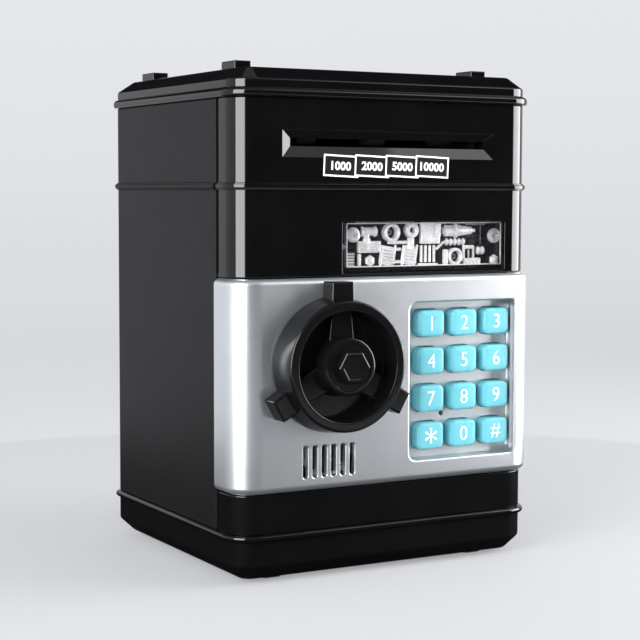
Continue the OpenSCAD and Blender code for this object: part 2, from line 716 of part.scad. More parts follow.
module speaker_cone() color("tan") translate([speaker_at[0], -46.9, speaker_at[1]]) rotate([-90, 0, 0])
    difference() {
        cylinder(h = 2.2, r1 = 8.5, r2 = 4.3);
        translate([0, 0, -0.4]) cylinder(h = 2.2, r1 = 8.5, r2 = 4.3);
    }

// Wires from the keypad's board to the speaker and to the lock
module door_lead() color("firebrick") {
    wire([[6.1, -38.9, 50], [-18, -38.9, 50]], 0.5);
    wire([[6.1, -38.9, 70], [2.4, -38.9, 70], [2.4, -38.9, knob_z - 6.1]], 0.5);
}

module lock_solenoid() color("darkgoldenrod") difference() {
    union() {
        block([-11.4, -45.5, knob_z - 5.5], [3.8, -37.5, knob_z + 5.5]);
        rod_x(-41.5, knob_z, -12, 4.2, 2.6);
    }
    rod_x(-41.5, knob_z, -13, 2, 1.5 + running);
}

module lock_pin() color(steel) rod_x(-41.5, knob_z, knob_x + disc_r + 0.6, -1.6, 1.5);

module knob_bushing() color(charcoal) difference() {
    union() {
        rod_y(knob_x, knob_z, door_y, -44.2, 5.5);
        rod_y(knob_x, knob_z, door_skin_y, door_skin_y + 1.2, 8);
    }
    rod_y(knob_x, knob_z, door_y - 1, -43, spindle_r + running);
}

// ---------- knob and latch ----------

lug_w = 9.4;
spoke_w = 9;
knob_back_r = knob_r + 1.2;        // the rim widens towards the door
spoke_y = rim_y + 5.2;             // front of the spokes, sunk behind the rim
module spokes_at() for (a = [90, 210, 330]) rotate(a) children();

module knob() color(black) difference() {
    union() {
        translate([knob_x, 0, knob_z]) {
            translate([0, rim_y, 0]) rotate([-90, 0, 0]) difference() {
                cylinder(h = knob_back_y - rim_y, r1 = knob_r, r2 = knob_back_r);
                translate([0, 0, -1]) cylinder(h = knob_back_y - rim_y + 2, r = knob_r - 3.7);
            }
            face_y(knob_back_y - 2.2, knob_back_y) circle(knob_r - 1);
            face_y(rim_y - 1, knob_back_y) circle(10.5);
            face_y(spoke_y, knob_back_y)
                spokes_at() translate([6, -spoke_w / 2]) square([16, spoke_w]);
            face_y(spoke_y - 1.1, spoke_y + 6.2)
                spokes_at() translate([knob_r - 1.5, -lug_w / 2]) square([lug_r - knob_r + 1.5, lug_w]);
        }
    }
    rod_y(knob_x, knob_z, rim_y + 3, knob_back_y + 1, spindle_r);
}

module knob_cap() color(black) {
    translate([knob_x, rim_y - 1, knob_z]) rotate([90, 0, 0]) cylinder(h = 3.4, r = 6.45, $fn = 6);
}

module knob_spindle() color(steel) rod_y(knob_x, knob_z, rim_y + 3, -25.6, spindle_r);

module lock_disc() color("ivory") difference() {
    rod_y(knob_x, knob_z, disc_y, disc_y + 3, disc_r);
    rod_y(knob_x, knob_z, disc_y - 1, disc_y + 4, spindle_r);
    for (a = [0, 90]) translate([knob_x, disc_y - 1, knob_z]) rotate([0, -a, 0])
        block([disc_r - notch_depth, 0, -notch_w / 2], [disc_r + 1, 5, notch_w / 2]);
}

module latch_arm() color("ivory") difference() {
    union() {
        rod_y(knob_x, knob_z, arm_y, arm_y + 2, 6.5);
        block([knob_x - 4, arm_y, knob_z - arm_len], [knob_x + 4, arm_y + 2, knob_z]);
    }
    rod_y(knob_x, knob_z, arm_y - 1, arm_y + 3, spindle_r);
}

module latch_nut() color(steel) difference() {
    translate([knob_x, -25.9, knob_z]) rotate([90, 0, 0]) cylinder(h = 1.5, r = 5.2, $fn = 6);
    rod_y(knob_x, knob_z, -28, -25, spindle_r);
}

// ---------- keys ----------

module key_cap(i) color(teal) translate([key_at(i)[0], 0, key_at(i)[1]]) {
    face_y(key_front_y + 0.6, recess_back_y + fit_gap) soft_rect(key_w, key_h, 3);
    face_y(key_front_y, key_front_y + 0.6) soft_rect(key_w - 0.9, key_h - 0.9, 2.6);
    face_y(recess_back_y + fit_gap, recess_back_y + fit_gap + key_flange)
        soft_rect(key_w + 1.6, key_h + 1.6, 3);
}

module key_1() key_cap(0);
module key_2() key_cap(1);
module key_3() key_cap(2);
module key_4() key_cap(3);
module key_5() key_cap(4);
module key_6() key_cap(5);
module key_7() key_cap(6);
module key_8() key_cap(7);
module key_9() key_cap(8);
module key_star() key_cap(9);
module key_0() key_cap(10);
module key_hash() key_cap(11);

front_shell();
rear_shell();
top_lid();
base_tray();
chamber_floor();
mechanism_cover();
battery_cover();
battery_cover_screw();
aa_cells();
battery_contacts();
battery_lead();
window_lens();
mechanism_plate();
plate_screws();
note_tags();
case_screws();
hinge_pins();
feeder_frame();
feed_motor();
gear_axle();
note_sensor();
main_board();
door_panel();
door_inner_cover();
keypad_board();
key_dome_mat();
speaker_basket();
speaker_cone();
status_led();
door_lead();
lock_solenoid();
knob_bushing();
door_screws();
knob();
knob_cap();
knob_spindle();
lock_disc();
latch_arm();
latch_nut();
lock_pin();
key_1();
key_2();
key_3();
key_4();
key_5();
key_6();
key_7();
key_8();
key_9();
key_star();
key_0();
key_hash();
motor_pinion();
compound_gear();
drive_shaft();
drive_rollers();
drive_gear();
pinch_shaft();
pinch_rollers();
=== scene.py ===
"""Toy cash machine savings bank: the finished surfaces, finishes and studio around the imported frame."""
import json
import logging
import math
from dataclasses import dataclass, field
from enum import Enum

import bmesh
import bpy
import numpy as np
from mathutils import Matrix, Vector
from mathutils.geometry import delaunay_2d_cdt


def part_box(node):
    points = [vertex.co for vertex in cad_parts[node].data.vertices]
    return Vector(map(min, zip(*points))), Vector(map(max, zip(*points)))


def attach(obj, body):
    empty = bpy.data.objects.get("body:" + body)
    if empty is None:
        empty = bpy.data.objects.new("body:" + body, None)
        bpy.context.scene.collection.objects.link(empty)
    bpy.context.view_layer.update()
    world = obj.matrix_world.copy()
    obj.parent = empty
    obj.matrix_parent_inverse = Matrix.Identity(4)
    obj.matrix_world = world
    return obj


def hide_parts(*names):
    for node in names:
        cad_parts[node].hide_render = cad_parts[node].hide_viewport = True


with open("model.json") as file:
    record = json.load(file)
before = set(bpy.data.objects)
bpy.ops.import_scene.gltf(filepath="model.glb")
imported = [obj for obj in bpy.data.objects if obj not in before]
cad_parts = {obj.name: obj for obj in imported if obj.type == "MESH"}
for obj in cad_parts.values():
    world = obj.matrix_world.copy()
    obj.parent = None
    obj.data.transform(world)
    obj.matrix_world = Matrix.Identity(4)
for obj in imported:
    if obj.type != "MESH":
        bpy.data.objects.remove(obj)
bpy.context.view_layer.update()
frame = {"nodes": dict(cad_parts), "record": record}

log = logging.getLogger("savings_bank")
Array = np.ndarray
Nodes = bpy.types.Nodes
Links = bpy.types.NodeLinks
Socket = bpy.types.NodeSocket
MM = 0.001


def node_box(name: str) -> tuple[Array, Array]:
    """Corners of a CAD node at rest.

    Args:
        name: the node's name.

    Returns:
        Its lowest and highest corner, in millimetres.
    """
    low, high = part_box(name)
    return np.array(low) / MM, np.array(high) / MM


# ---------------------------------------------------------------- finishes


class Texture(Enum):
    """How a finish's fine relief runs."""

    GRAIN = "grain"
    BRUSHED = "brushed"
    FLAKE = "flake"


@dataclass(frozen=True)
class Finish:
    """A procedural surface finish: colour with broad mottling, uneven gloss and a fine relief."""

    name: str
    colour: tuple[float, float, float]
    roughness: float
    metallic: float = 0.0
    specular: float = 0.5
    coat: float = 0.0
    alpha: float = 1.0
    glow: float = 0.0
    mottle: float = 0.06
    patch_mm: float = 18.0
    uneven: float = 0.04
    grain_mm: float = 0.4
    depth_mm: float = 0.004
    texture: Texture = Texture.GRAIN

    def material(self) -> bpy.types.Material:
        """Builds the finish's nodes once.

        Colour is the base colour times one plus noise; roughness is the base plus another noise; the bump is
        fine noise, stretched along one axis when brushed and cellular when flaked.

        Returns:
            The material, which later calls find by name.
        """
        ready = bpy.data.materials.get(self.name)
        if ready and ready.get("finish"):
            return ready
        material = bpy.data.materials.new(self.name)
        material["finish"] = True
        material.use_nodes = True
        nodes, links = material.node_tree.nodes, material.node_tree.links
        shader = nodes["Principled BSDF"]
        place = nodes.new("ShaderNodeTexCoord").outputs["Object"]
        shader.inputs["Metallic"].default_value = self.metallic
        shader.inputs["Specular IOR Level"].default_value = self.specular
        shader.inputs["Coat Weight"].default_value = self.coat
        shader.inputs["Coat Roughness"].default_value = 0.12
        shader.inputs["Alpha"].default_value = self.alpha
        if self.glow:
            shader.inputs["Emission Color"].default_value = (*self.colour, 1.0)
            shader.inputs["Emission Strength"].default_value = self.glow

        def noise(size_mm: float, detail: float) -> bpy.types.Node:
            """Noise whose cells are size_mm across."""
            node = nodes.new("ShaderNodeTexNoise")
            node.inputs["Scale"].default_value = 1.0 / (size_mm * MM)
            node.inputs["Detail"].default_value = detail
            links.new(place, node.inputs["Vector"])
            return node

        broad = noise(self.patch_mm, 4.0)
        ramp = nodes.new("ShaderNodeValToRGB")
        links.new(broad.outputs["Fac"], ramp.inputs["Fac"])
        for stop, at, gain in zip(ramp.color_ramp.elements, (0.3, 0.7), (1 - self.mottle, 1 + self.mottle)):
            stop.position = at
            stop.color = (*[min(1.0, channel * gain) for channel in self.colour], 1.0)
        self.tint(nodes, links, place, ramp.outputs["Color"], shader.inputs["Base Color"])

        gloss = nodes.new("ShaderNodeMapRange")
        links.new(noise(self.patch_mm * 0.35, 5.0).outputs["Fac"], gloss.inputs["Value"])
        gloss.inputs["From Min"].default_value = 0.3
        gloss.inputs["From Max"].default_value = 0.7
        gloss.inputs["To Min"].default_value = max(0.02, self.roughness - self.uneven)
        gloss.inputs["To Max"].default_value = min(1.0, self.roughness + self.uneven)
        links.new(gloss.outputs["Result"], shader.inputs["Roughness"])

        if self.texture is Texture.FLAKE:
            fine = nodes.new("ShaderNodeTexVoronoi")
            fine.inputs["Scale"].default_value = 1.0 / (self.grain_mm * MM)
            links.new(place, fine.inputs["Vector"])
            relief = fine.outputs["Distance"]
        else:
            fine = noise(self.grain_mm, 3.0)
            relief = fine.outputs["Fac"]
        if self.texture is Texture.BRUSHED:
            stretch = nodes.new("ShaderNodeMapping")
            stretch.inputs["Scale"].default_value = (0.04, 1.0, 1.0)
            links.new(place, stretch.inputs["Vector"])
            links.new(stretch.outputs["Vector"], fine.inputs["Vector"])
        bump = nodes.new("ShaderNodeBump")
        bump.inputs["Distance"].default_value = self.depth_mm * MM
        bump.inputs["Strength"].default_value = 1.0
        links.new(relief, bump.inputs["Height"])
        links.new(bump.outputs["Normal"], shader.inputs["Normal"])
        return material

    def tint(self, nodes: Nodes, links: Links, place: Socket, colour: Socket, target: Socket) -> None:
        """Passes the mottled colour straight to the shader."""
        links.new(colour, target)


@dataclass(frozen=True)
class ReliefFinish(Finish):
    """Bright plating on raised shapes, with painted shade: the colour fades to near black at the plate behind
    them.
    """

    # Painted shade: near-black colour given to the plate behind the raised shapes.
    shaded_ground: tuple[float, float, float] = (0.012, 0.012, 0.013)
    ground_y_mm: float = -40.9
    raised_y_mm: float = -41.3

    def tint(self, nodes: Nodes, links: Links, place: Socket, colour: Socket, target: Socket) -> None:
        """Paints shade by depth: the near-black painted-shade colour at the plate, the bright plating on
        whatever stands off it.
        """
        split = nodes.new("ShaderNodeSeparateXYZ")
        links.new(place, split.inputs["Vector"])
        depth = nodes.new("ShaderNodeMapRange")
        links.new(split.outputs["Y"], depth.inputs["Value"])
        depth.inputs["From Min"].default_value = self.ground_y_mm * MM
        depth.inputs["From Max"].default_value = self.raised_y_mm * MM
        mix = nodes.new("ShaderNodeMix")
        mix.data_type = "RGBA"
        links.new(depth.outputs["Result"], mix.inputs["Factor"])
        mix.inputs["A"].default_value = (*self.shaded_ground, 1.0)
        links.new(colour, mix.inputs["B"])
        links.new(mix.outputs["Result"], target)


@dataclass(frozen=True)
class PaperFinish(Finish):
    """Backdrop paper that glows more the further it lies from the object."""

    far_glow: float = 2.0
    near_m: float = 0.35
    far_m: float = 3.2

    def tint(self, nodes: Nodes, links: Links, place: Socket, colour: Socket, target: Socket) -> None:
        """Passes the colour on and drives the glow by distance from the middle of the floor."""
        links.new(colour, target)
        away = nodes.new("ShaderNodeVectorMath")
        away.operation = "LENGTH"
        links.new(place, away.inputs[0])
        glow = nodes.new("ShaderNodeMapRange")
        glow.interpolation_type = "SMOOTHSTEP"
        links.new(away.outputs["Value"], glow.inputs["Value"])
        glow.inputs["From Min"].default_value = self.near_m
        glow.inputs["From Max"].default_value = self.far_m
        glow.inputs["To Min"].default_value = self.glow
        glow.inputs["To Max"].default_value = self.far_glow
        links.new(glow.outputs["Result"], target.node.inputs["Emission Strength"])


GLOSS_BLACK = Finish("polished_black_abs", (0.003, 0.003, 0.0033), 0.045, specular=0.5, mottle=0.2,
                     uneven=0.01, grain_mm=2.5, depth_mm=0.002)
MATTE_BLACK = Finish("satin_black_abs", (0.007, 0.007, 0.0075), 0.38, specular=0.11, mottle=0.08,
                     uneven=0.015, grain_mm=0.35, depth_mm=0.005)
INNER_BLACK = Finish("moulded_inner_black", (0.02, 0.02, 0.022), 0.55, mottle=0.12, grain_mm=0.5,
                     depth_mm=0.012)
SILVER_PAINT = Finish("satin_silver_paint", (0.68, 0.71, 0.735), 0.31, metallic=0.88, coat=0.25, mottle=0.025,
                      uneven=0.015, grain_mm=0.09, depth_mm=0.0012, texture=Texture.FLAKE)
KNOB_BLACK = Finish("knob_black_abs", (0.0045, 0.0045, 0.005), 0.14, specular=0.3, mottle=0.15, uneven=0.03,
                    grain_mm=0.6, depth_mm=0.004)
TEAL = Finish("teal_key_plastic", (0.135, 0.475, 0.55), 0.3, specular=0.5, mottle=0.04, uneven=0.04,
              grain_mm=0.5, depth_mm=0.004)
NUMERAL_WHITE = Finish("numeral_white_ink", (0.86, 0.9, 0.9), 0.4, mottle=0.03, grain_mm=0.2, depth_mm=0.002)
TAG_WHITE = Finish("tag_white_ink", (0.9, 0.9, 0.9), 0.45, mottle=0.03, grain_mm=0.15, depth_mm=0.001)
TAG_BLACK = Finish("tag_black_ink", (0.005, 0.005, 0.006), 0.4, specular=0.15, mottle=0.1, grain_mm=0.15,
                   depth_mm=0.001)
CLEAR = Finish("clear_acrylic", (0.02, 0.022, 0.024), 0.04, specular=0.5, alpha=0.12, mottle=0.02,
               uneven=0.02, grain_mm=3.0, depth_mm=0.001)
# The relief's plate is painted dark as shade; the raised shapes keep the plating colour.
RELIEF = ReliefFinish("plated_relief", (0.92, 0.92, 0.93), 0.3, metallic=0.15, mottle=0.1, patch_mm=5.0,
                      uneven=0.1, grain_mm=0.8, depth_mm=0.02)
ZINC = Finish("zinc_plated_steel", (0.6, 0.6, 0.61), 0.3, metallic=1.0, mottle=0.08, grain_mm=0.3,
              depth_mm=0.004, texture=Texture.BRUSHED)
NICKEL = Finish("bright_nickel", (0.86, 0.86, 0.87), 0.28, metallic=0.25, mottle=0.06, patch_mm=2.0,
                grain_mm=0.3, depth_mm=0.006)
BRASS = Finish("machined_brass", (0.72, 0.52, 0.22), 0.28, metallic=1.0, mottle=0.08, grain_mm=0.2,
               depth_mm=0.004)
ACETAL = Finish("natural_acetal", (0.78, 0.75, 0.66), 0.4, mottle=0.05, grain_mm=0.5, depth_mm=0.004)
ROLLER = Finish("roller_rubber", (0.012, 0.012, 0.013), 0.85, mottle=0.2, grain_mm=0.25, depth_mm=0.03)
SILICONE = Finish("translucent_silicone", (0.55, 0.56, 0.56), 0.5, mottle=0.05, grain_mm=0.6, depth_mm=0.01)
BOARD = Finish("green_solder_mask", (0.02, 0.16, 0.07), 0.35, coat=0.3, mottle=0.2, patch_mm=3.0,
               grain_mm=0.8, depth_mm=0.02)
WIRE = Finish("red_wire_sleeve", (0.42, 0.02, 0.02), 0.4, mottle=0.08, grain_mm=0.4, depth_mm=0.004)
CELL = Finish("cell_sleeve", (0.05, 0.05, 0.055), 0.3, metallic=0.3, mottle=0.4, patch_mm=9.0, grain_mm=0.5,
              depth_mm=0.003)
PAPER = Finish("pressed_paper", (0.03, 0.026, 0.022), 0.85, mottle=0.15, grain_mm=0.3, depth_mm=0.04)
LED = Finish("green_epoxy", (0.03, 0.09, 0.045), 0.15, mottle=0.05, grain_mm=0.5, depth_mm=0.002)

SLOT_FINISHES = {"gloss_black": GLOSS_BLACK, "matte_black": MATTE_BLACK, "inner_black": INNER_BLACK,
                 "silver_paint": SILVER_PAINT, "teal_key": TEAL, "knob_black": KNOB_BLACK,
                 "clear_window": CLEAR, "silver_relief": RELIEF, "white_print": TAG_WHITE, "steel": ZINC,
                 "brass": BRASS, "ivory_gear": ACETAL, "roller_rubber": ROLLER, "silicone": SILICONE,
                 "circuit_board": BOARD, "wire_red": WIRE, "cell_wrap": CELL, "paper_cone": PAPER,
                 "led_green": LED}


# ---------------------------------------------------------------- surface building


class Face(Enum):
    """A flat side to build on: local (across, up, outward) becomes X, Y, Z."""

    FRONT = "front"
    BACK = "back"
    TOP = "top"
    BOTTOM = "bottom"

    def place(self, local: Array, level: float) -> Array:
        """Puts local points onto the side.

        Args:
            local: array (..., 3) of across, up and outward distances.
            level: where the side's plane lies along its normal axis.

        Returns:
            The same points as X, Y, Z.
        """
        across, up, out = local[..., 0], local[..., 1], local[..., 2]
        if self is Face.FRONT:
            parts = (across, level - out, up)
        elif self is Face.BACK:
            parts = (across, level + out, up)
        elif self is Face.TOP:
            parts = (across, up, level + out)
        else:
            parts = (across, up, level - out)
        return np.stack(parts, -1)


@dataclass(frozen=True)
class Ring:
    """A round-cornered rectangle at some height off a flat side."""

    at: tuple[float, float]
    size: tuple[float, float]
    radius: float
    height: float = 0.0
    grow: float = 0.0
    tilt: float = 0.0
    steps: int = 6

    def loop(self) -> Array:
        """Outline of the ring: four quarter circles, each about a centre one radius in from both sides.

        Returns:
            Array (points, 3) of across, up and outward, counter-clockwise.
        """
        radius = max(self.radius + self.grow, 0.01)
        half = np.array(self.size) / 2 + self.grow - radius
        sweep = np.linspace(0, np.pi / 2, self.steps + 1) + np.pi / 2 * np.arange(4)[:, None]
        centre = half * np.array([[1, 1], [-1, 1], [-1, -1], [1, -1]])
        flat = centre[:, None, :] + radius * np.stack([np.cos(sweep), np.sin(sweep)], -1)
        flat = flat.reshape(-1, 2)
        turn = np.array([[math.cos(self.tilt), math.sin(self.tilt)],
                         [-math.sin(self.tilt), math.cos(self.tilt)]])
        flat = flat @ turn + np.array(self.at)
        return np.column_stack([flat, np.full(len(flat), self.height)])

    def moved(self, height: float, grow: float = 0.0) -> "Ring":
        """The same ring at another height, grown by more."""
        return Ring(self.at, self.size, self.radius, height, self.grow + grow, self.tilt, self.steps)


def lip(radius: float, steps: int = 4) -> Array:
    """Edge rounding into a hole: a quarter circle from the face down into the wall.

    Args:
        radius: the rounding's radius.
        steps: segments in the quarter circle.

    Returns:
        Array (steps + 1, 2) of outward growth and height.
    """
    angle = np.linspace(0, np.pi / 2, steps + 1)
    return np.column_stack([radius * (1 - np.sin(angle)), -radius * (1 - np.cos(angle))])


def crown(radius: float, steps: int = 4) -> Array:
    """Edge rounding on top of a post: a quarter circle from the wall in over the top.

    Args:
        radius: the rounding's radius.
        steps: segments in the quarter circle.

    Returns:
        Array (steps + 1, 2) of growth, which is negative inward, and height below the top.
    """
    angle = np.linspace(0, np.pi / 2, steps + 1)
    return np.column_stack([-radius * (1 - np.cos(angle)), -radius * (1 - np.sin(angle))])


def hole(ring: Ring, depth: float, round_over: float) -> list[Ring]:
    """Rings of a hole: its rounded edge, then the wall down to its depth."""
    return [ring.moved(ring.height + drop, grow) for grow, drop in lip(round_over)] + [
        ring.moved(ring.height - depth)]


def post(ring: Ring, height: float, round_over: float) -> list[Ring]:
    """Rings of a post: its wall, then the rounded edge of its top."""
    return [ring] + [ring.moved(ring.height + height + drop, grow) for grow, drop in crown(round_over)]


class Skin:
    """Gathers surface patches, in millimetres, and turns them into one mesh."""

    def __init__(self) -> None:
        """Starts empty."""
        self.points: list[Array] = []
        self.faces: list[Array] = []
        self.count = 0

    def add(self, points: Array, faces: Array) -> None:
        """Adds points (n, 3) and faces (m, 3 or 4) that index into them."""
        self.points.append(points)
        self.faces.append(faces + self.count)
        self.count += len(points)

    def grid(self, points: Array, closed: bool = False, skip: tuple[tuple[int, int], ...] = ()) -> None:
        """Adds a surface that is a function of two parameters.

        Args:
            points: array (rows, columns, 3).
            closed: whether the last column joins the first.
            skip: (row, column) of quads to leave out.
        """
        rows, columns = points.shape[:2]
        index = np.arange(rows * columns).reshape(rows, columns)
        if closed:
            index = np.concatenate([index, index[:, :1]], axis=1)
        quads = np.stack([index[:-1, :-1], index[:-1, 1:], index[1:, 1:], index[1:, :-1]], -1)
        keep = np.ones(quads.shape[:2], bool)
        for row, column in skip:
            keep[row, column] = False
        self.add(points.reshape(-1, 3), quads[keep])

    def patch(self, face: Face, level: float, outline: Array, holes: list[Array],
              height: float = 0.0) -> None:
        """Fills a flat outline except its holes: triangles whose middle crosses an odd count of edges stay.

        Args:
            face: the side the outline lies on.
            level: the side's plane.
            outline: array (n, 2 or more) of across and up.
            holes: outlines to leave open.
            height: how far the patch stands off the side.
        """
        loops = [outline[:, :2]] + [edge[:, :2] for edge in holes]
        sizes = np.cumsum([0] + [len(edge) for edge in loops])
        start = np.concatenate(loops)
        end = np.concatenate([np.roll(edge, -1, axis=0) for edge in loops])
        edges = np.concatenate([
            np.column_stack([np.arange(a, b), np.roll(np.arange(a, b), -1)])
            for a, b in zip(sizes, sizes[1:])])
        flat, _, faces, *_ = delaunay_2d_cdt(start.tolist(), edges.tolist(), [], 0, 1e-6)
        flat, faces = np.array([tuple(point) for point in flat]), np.array(faces)
        middle = flat[faces].mean(1)[:, None, :]
        rise = np.where(start[:, 1] == end[:, 1], 1.0, end[:, 1] - start[:, 1])
        meets = start[:, 0] + (middle[..., 1] - start[:, 1]) / rise * (end[:, 0] - start[:, 0])
        spans = (start[:, 1] > middle[..., 1]) != (end[:, 1] > middle[..., 1])
        odd = (spans & (meets > middle[..., 0])).sum(1) % 2 == 1
        local = np.column_stack([flat, np.full(len(flat), height)])
        self.add(face.place(local, level), faces[odd])

    def rings(self, face: Face, level: float, rings: list[Ring]) -> None:
        """Adds the wall that joins rings of equal point counts in turn."""
        self.grid(face.place(np.stack([ring.loop() for ring in rings]), level), closed=True)

    def block(self, face: Face, level: float, ring: Ring, height: float, round_over: float = 0.3) -> None:
        """Adds a closed post with a rounded top edge, standing on a side."""
        rings = post(ring, height, round_over)
        self.rings(face, level, rings)
        self.patch(face, level, rings[0].loop(), [], rings[0].height)
        self.patch(face, level, rings[-1].loop(), [], rings[-1].height)

    def turned(self, axis: str, centre: tuple[float, float, float], profile: list[tuple[float, float]],
               segments: int = 32) -> None:
        """Adds a surface of revolution: the profile's radius turned round an axis.

        Args:
            axis: "X", "Y" or "Z".
            centre: where the profile's zero lies.
            profile: (distance along the axis, radius), with radius 0 where it closes.
            segments: steps round the axis.
        """
        along, radius = np.array(profile, float).T
        angle = np.linspace(0, 2 * np.pi, segments, endpoint=False)
        ones = np.ones_like(angle)
        local = np.stack([along[:, None] * ones, radius[:, None] * np.cos(angle),
                          radius[:, None] * np.sin(angle)], -1)
        order = {"X": (0, 1, 2), "Y": (2, 0, 1), "Z": (1, 2, 0)}[axis]
        self.grid(local[..., order] + np.array(centre), closed=True)

    def rod(self, axis: str, start: tuple[float, float, float], length: float, radius: float,
            edge: float = 0.15, segments: int = 20) -> None:
        """Adds a solid rod with a small chamfer at both ends."""
        self.turned(axis, start, [(0, 0), (0, radius - edge), (edge, radius), (length - edge, radius),
                                  (length, radius - edge), (length, 0)], segments)

    def sheet(self, outer: Array, inner: Array, skip: tuple[tuple[int, int], ...] = ()) -> None:
        """Adds a wall between an outer and an inner grid of the same shape, with its four edges closed."""
        self.grid(outer, skip=skip)
        self.grid(inner, skip=skip)
        for side in (0, -1):
            self.grid(np.stack([outer[side], inner[side]]))
            self.grid(np.stack([outer[:, side], inner[:, side]]))

    def finish(self, name: str, finish: Finish, body: str, nodes: tuple[str, ...], slot: str,
               crease: float = 32.0) -> bpy.types.Object:
        """Makes the mesh: doubles merged, normals outward, flat faces dominating the shading.

        Args:
            name: the piece's name.
            finish: its surface finish.
            body: the CAD body that it rides on.
            nodes: CAD nodes that it stands for.
            slot: the record's material slot; not used.
            crease: angle in degrees above which an edge stays sharp.

        Returns:
            The finished object.
        """
        mesh = bpy.data.meshes.new(name)
        faces = [row for block in self.faces for row in block.tolist()]
        mesh.from_pydata((np.concatenate(self.points) * MM).tolist(), [], faces)
        shape = bmesh.new()
        shape.from_mesh(mesh)
        bmesh.ops.remove_doubles(shape, verts=shape.verts, dist=4e-6)
        bmesh.ops.dissolve_degenerate(shape, edges=shape.edges, dist=2e-6)
        bmesh.ops.recalc_face_normals(shape, faces=shape.faces)
        shape.to_mesh(mesh)
        shape.free()
        return self.dress(mesh, name, finish, body, nodes, slot, crease)

    @staticmethod
    def dress(mesh: bpy.types.Mesh, name: str, finish: Finish, body: str, nodes: tuple[str, ...], slot: str,
              crease: float = 32.0) -> bpy.types.Object:
        """Shades a mesh, gives it its finish and binds it to the frame."""
        mesh.polygons.foreach_set("use_smooth", np.ones(len(mesh.polygons), bool))
        mesh.set_sharp_from_angle(angle=math.radians(crease))
        piece = bpy.data.objects.new(name, mesh)
        bpy.context.scene.collection.objects.link(piece)
        weigh = piece.modifiers.new("even_shading", "WEIGHTED_NORMAL")
        weigh.keep_sharp = True
        weigh.weight = 80
        mesh.materials.append(finish.material())
        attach(piece, body)
        if nodes:
            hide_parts(*nodes)
        log.info("%s: %d faces, rides on %s", name, len(mesh.polygons), body)
        return piece


def lettering(name: str, words: str, height: float, thickness: float, squeeze: float = 1.0,
              heavy: float = 0.0) -> tuple[Array, list]:
    """Raised lettering from the built-in typeface, centred on the origin of its own plane.

    Args:
        name: a name for the passing text object.
        words: what it says.
        height: height of a capital, in millimetres.
        thickness: how far it stands up.
        squeeze: width relative to the typeface's own.
        heavy: how much the strokes are fattened.

    Returns:
        Points (n, 3) of across, up and outward in millimetres, and the faces.
    """
    curve = bpy.data.curves.new(name, "FONT")
    curve.body = words
    curve.size = height / 0.7
    curve.extrude = thickness / 2
    curve.offset = heavy
    curve.resolution_u = 3
    text = bpy.data.objects.new(name, curve)
    bpy.context.scene.collection.objects.link(text)
    bpy.context.view_layer.update()
    solid = text.evaluated_get(bpy.context.evaluated_depsgraph_get()).to_mesh()
    points = np.empty(len(solid.vertices) * 3)
    solid.vertices.foreach_get("co", points)
    points = points.reshape(-1, 3)
    faces = [tuple(polygon.vertices) for polygon in solid.polygons]
    text.evaluated_get(bpy.context.evaluated_depsgraph_get()).to_mesh_clear()
    bpy.data.objects.remove(text)
    bpy.data.curves.remove(curve)
    middle = (points.min(0) + points.max(0)) / 2
    points = (points - middle) * np.array([squeeze, 1.0, 1.0]) + np.array([0, 0, thickness / 2])
    return points, faces


@dataclass(frozen=True)
class WrapPlan:
    """A wall seen from above that runs round two corners: side, corner, flat face, corner, side."""

    half_width: float
    face: float
    radius: float
    left_end: float
    right_end: float
    lip: float = 0.5
    steps: int = 12

    def path(self, grow: Array) -> Array:
        """Plan points of the wall for each growth.

        The corners are quarter circles whose radius grows with the wall; the sides are straight to both ends,
        where a quarter circle of radius lip turns the edge in.

        Args:
            grow: array (rows,) of outward growth.

        Returns:
            Array (rows, columns, 2); the flat face is the quad after flat_column().
        """
        grow = np.asarray(grow, float)[:, None]
        radius = np.maximum(self.radius + grow, 0.3)
        half, face = self.half_width + grow, self.face - grow
        angle = np.linspace(0, np.pi / 2, self.steps + 1)
        inset, back = self.lip * (1 - np.sin(angle[::3])), self.lip * (1 - np.cos(angle[::3]))
        left = np.stack([-half + inset, self.left_end - back + 0 * grow], -1)
        right = np.stack([half - inset[::-1], self.right_end - back[::-1] + 0 * grow], -1)
        first = np.stack([-half + radius - radius * np.cos(angle), face + radius - radius * np.sin(angle)],
                         -1)
        second = np.stack([half - radius + radius * np.sin(angle), face + radius - radius * np.cos(angle)],
                          -1)
        return np.concatenate([left, first, second, right], axis=1)

    def flat_column(self) -> int:
        """Column of the quad that is the flat face."""
        return len(range(0, self.steps + 1, 3)) + self.steps

    def wall(self, rows: Array) -> Array:
        """Surface for rows of (height, growth): the plan path carried up the profile."""
        path = self.path(rows[:, 1])
        height = np.broadcast_to(rows[:, 0][:, None, None], (*path.shape[:2], 1))
        return np.concatenate([path, height], -1)

    def mirrored(self, rows: Array) -> Array:
        """The same wall turned to face the other way along Y."""
        return self.wall(rows) * np.array([1, -1, 1])


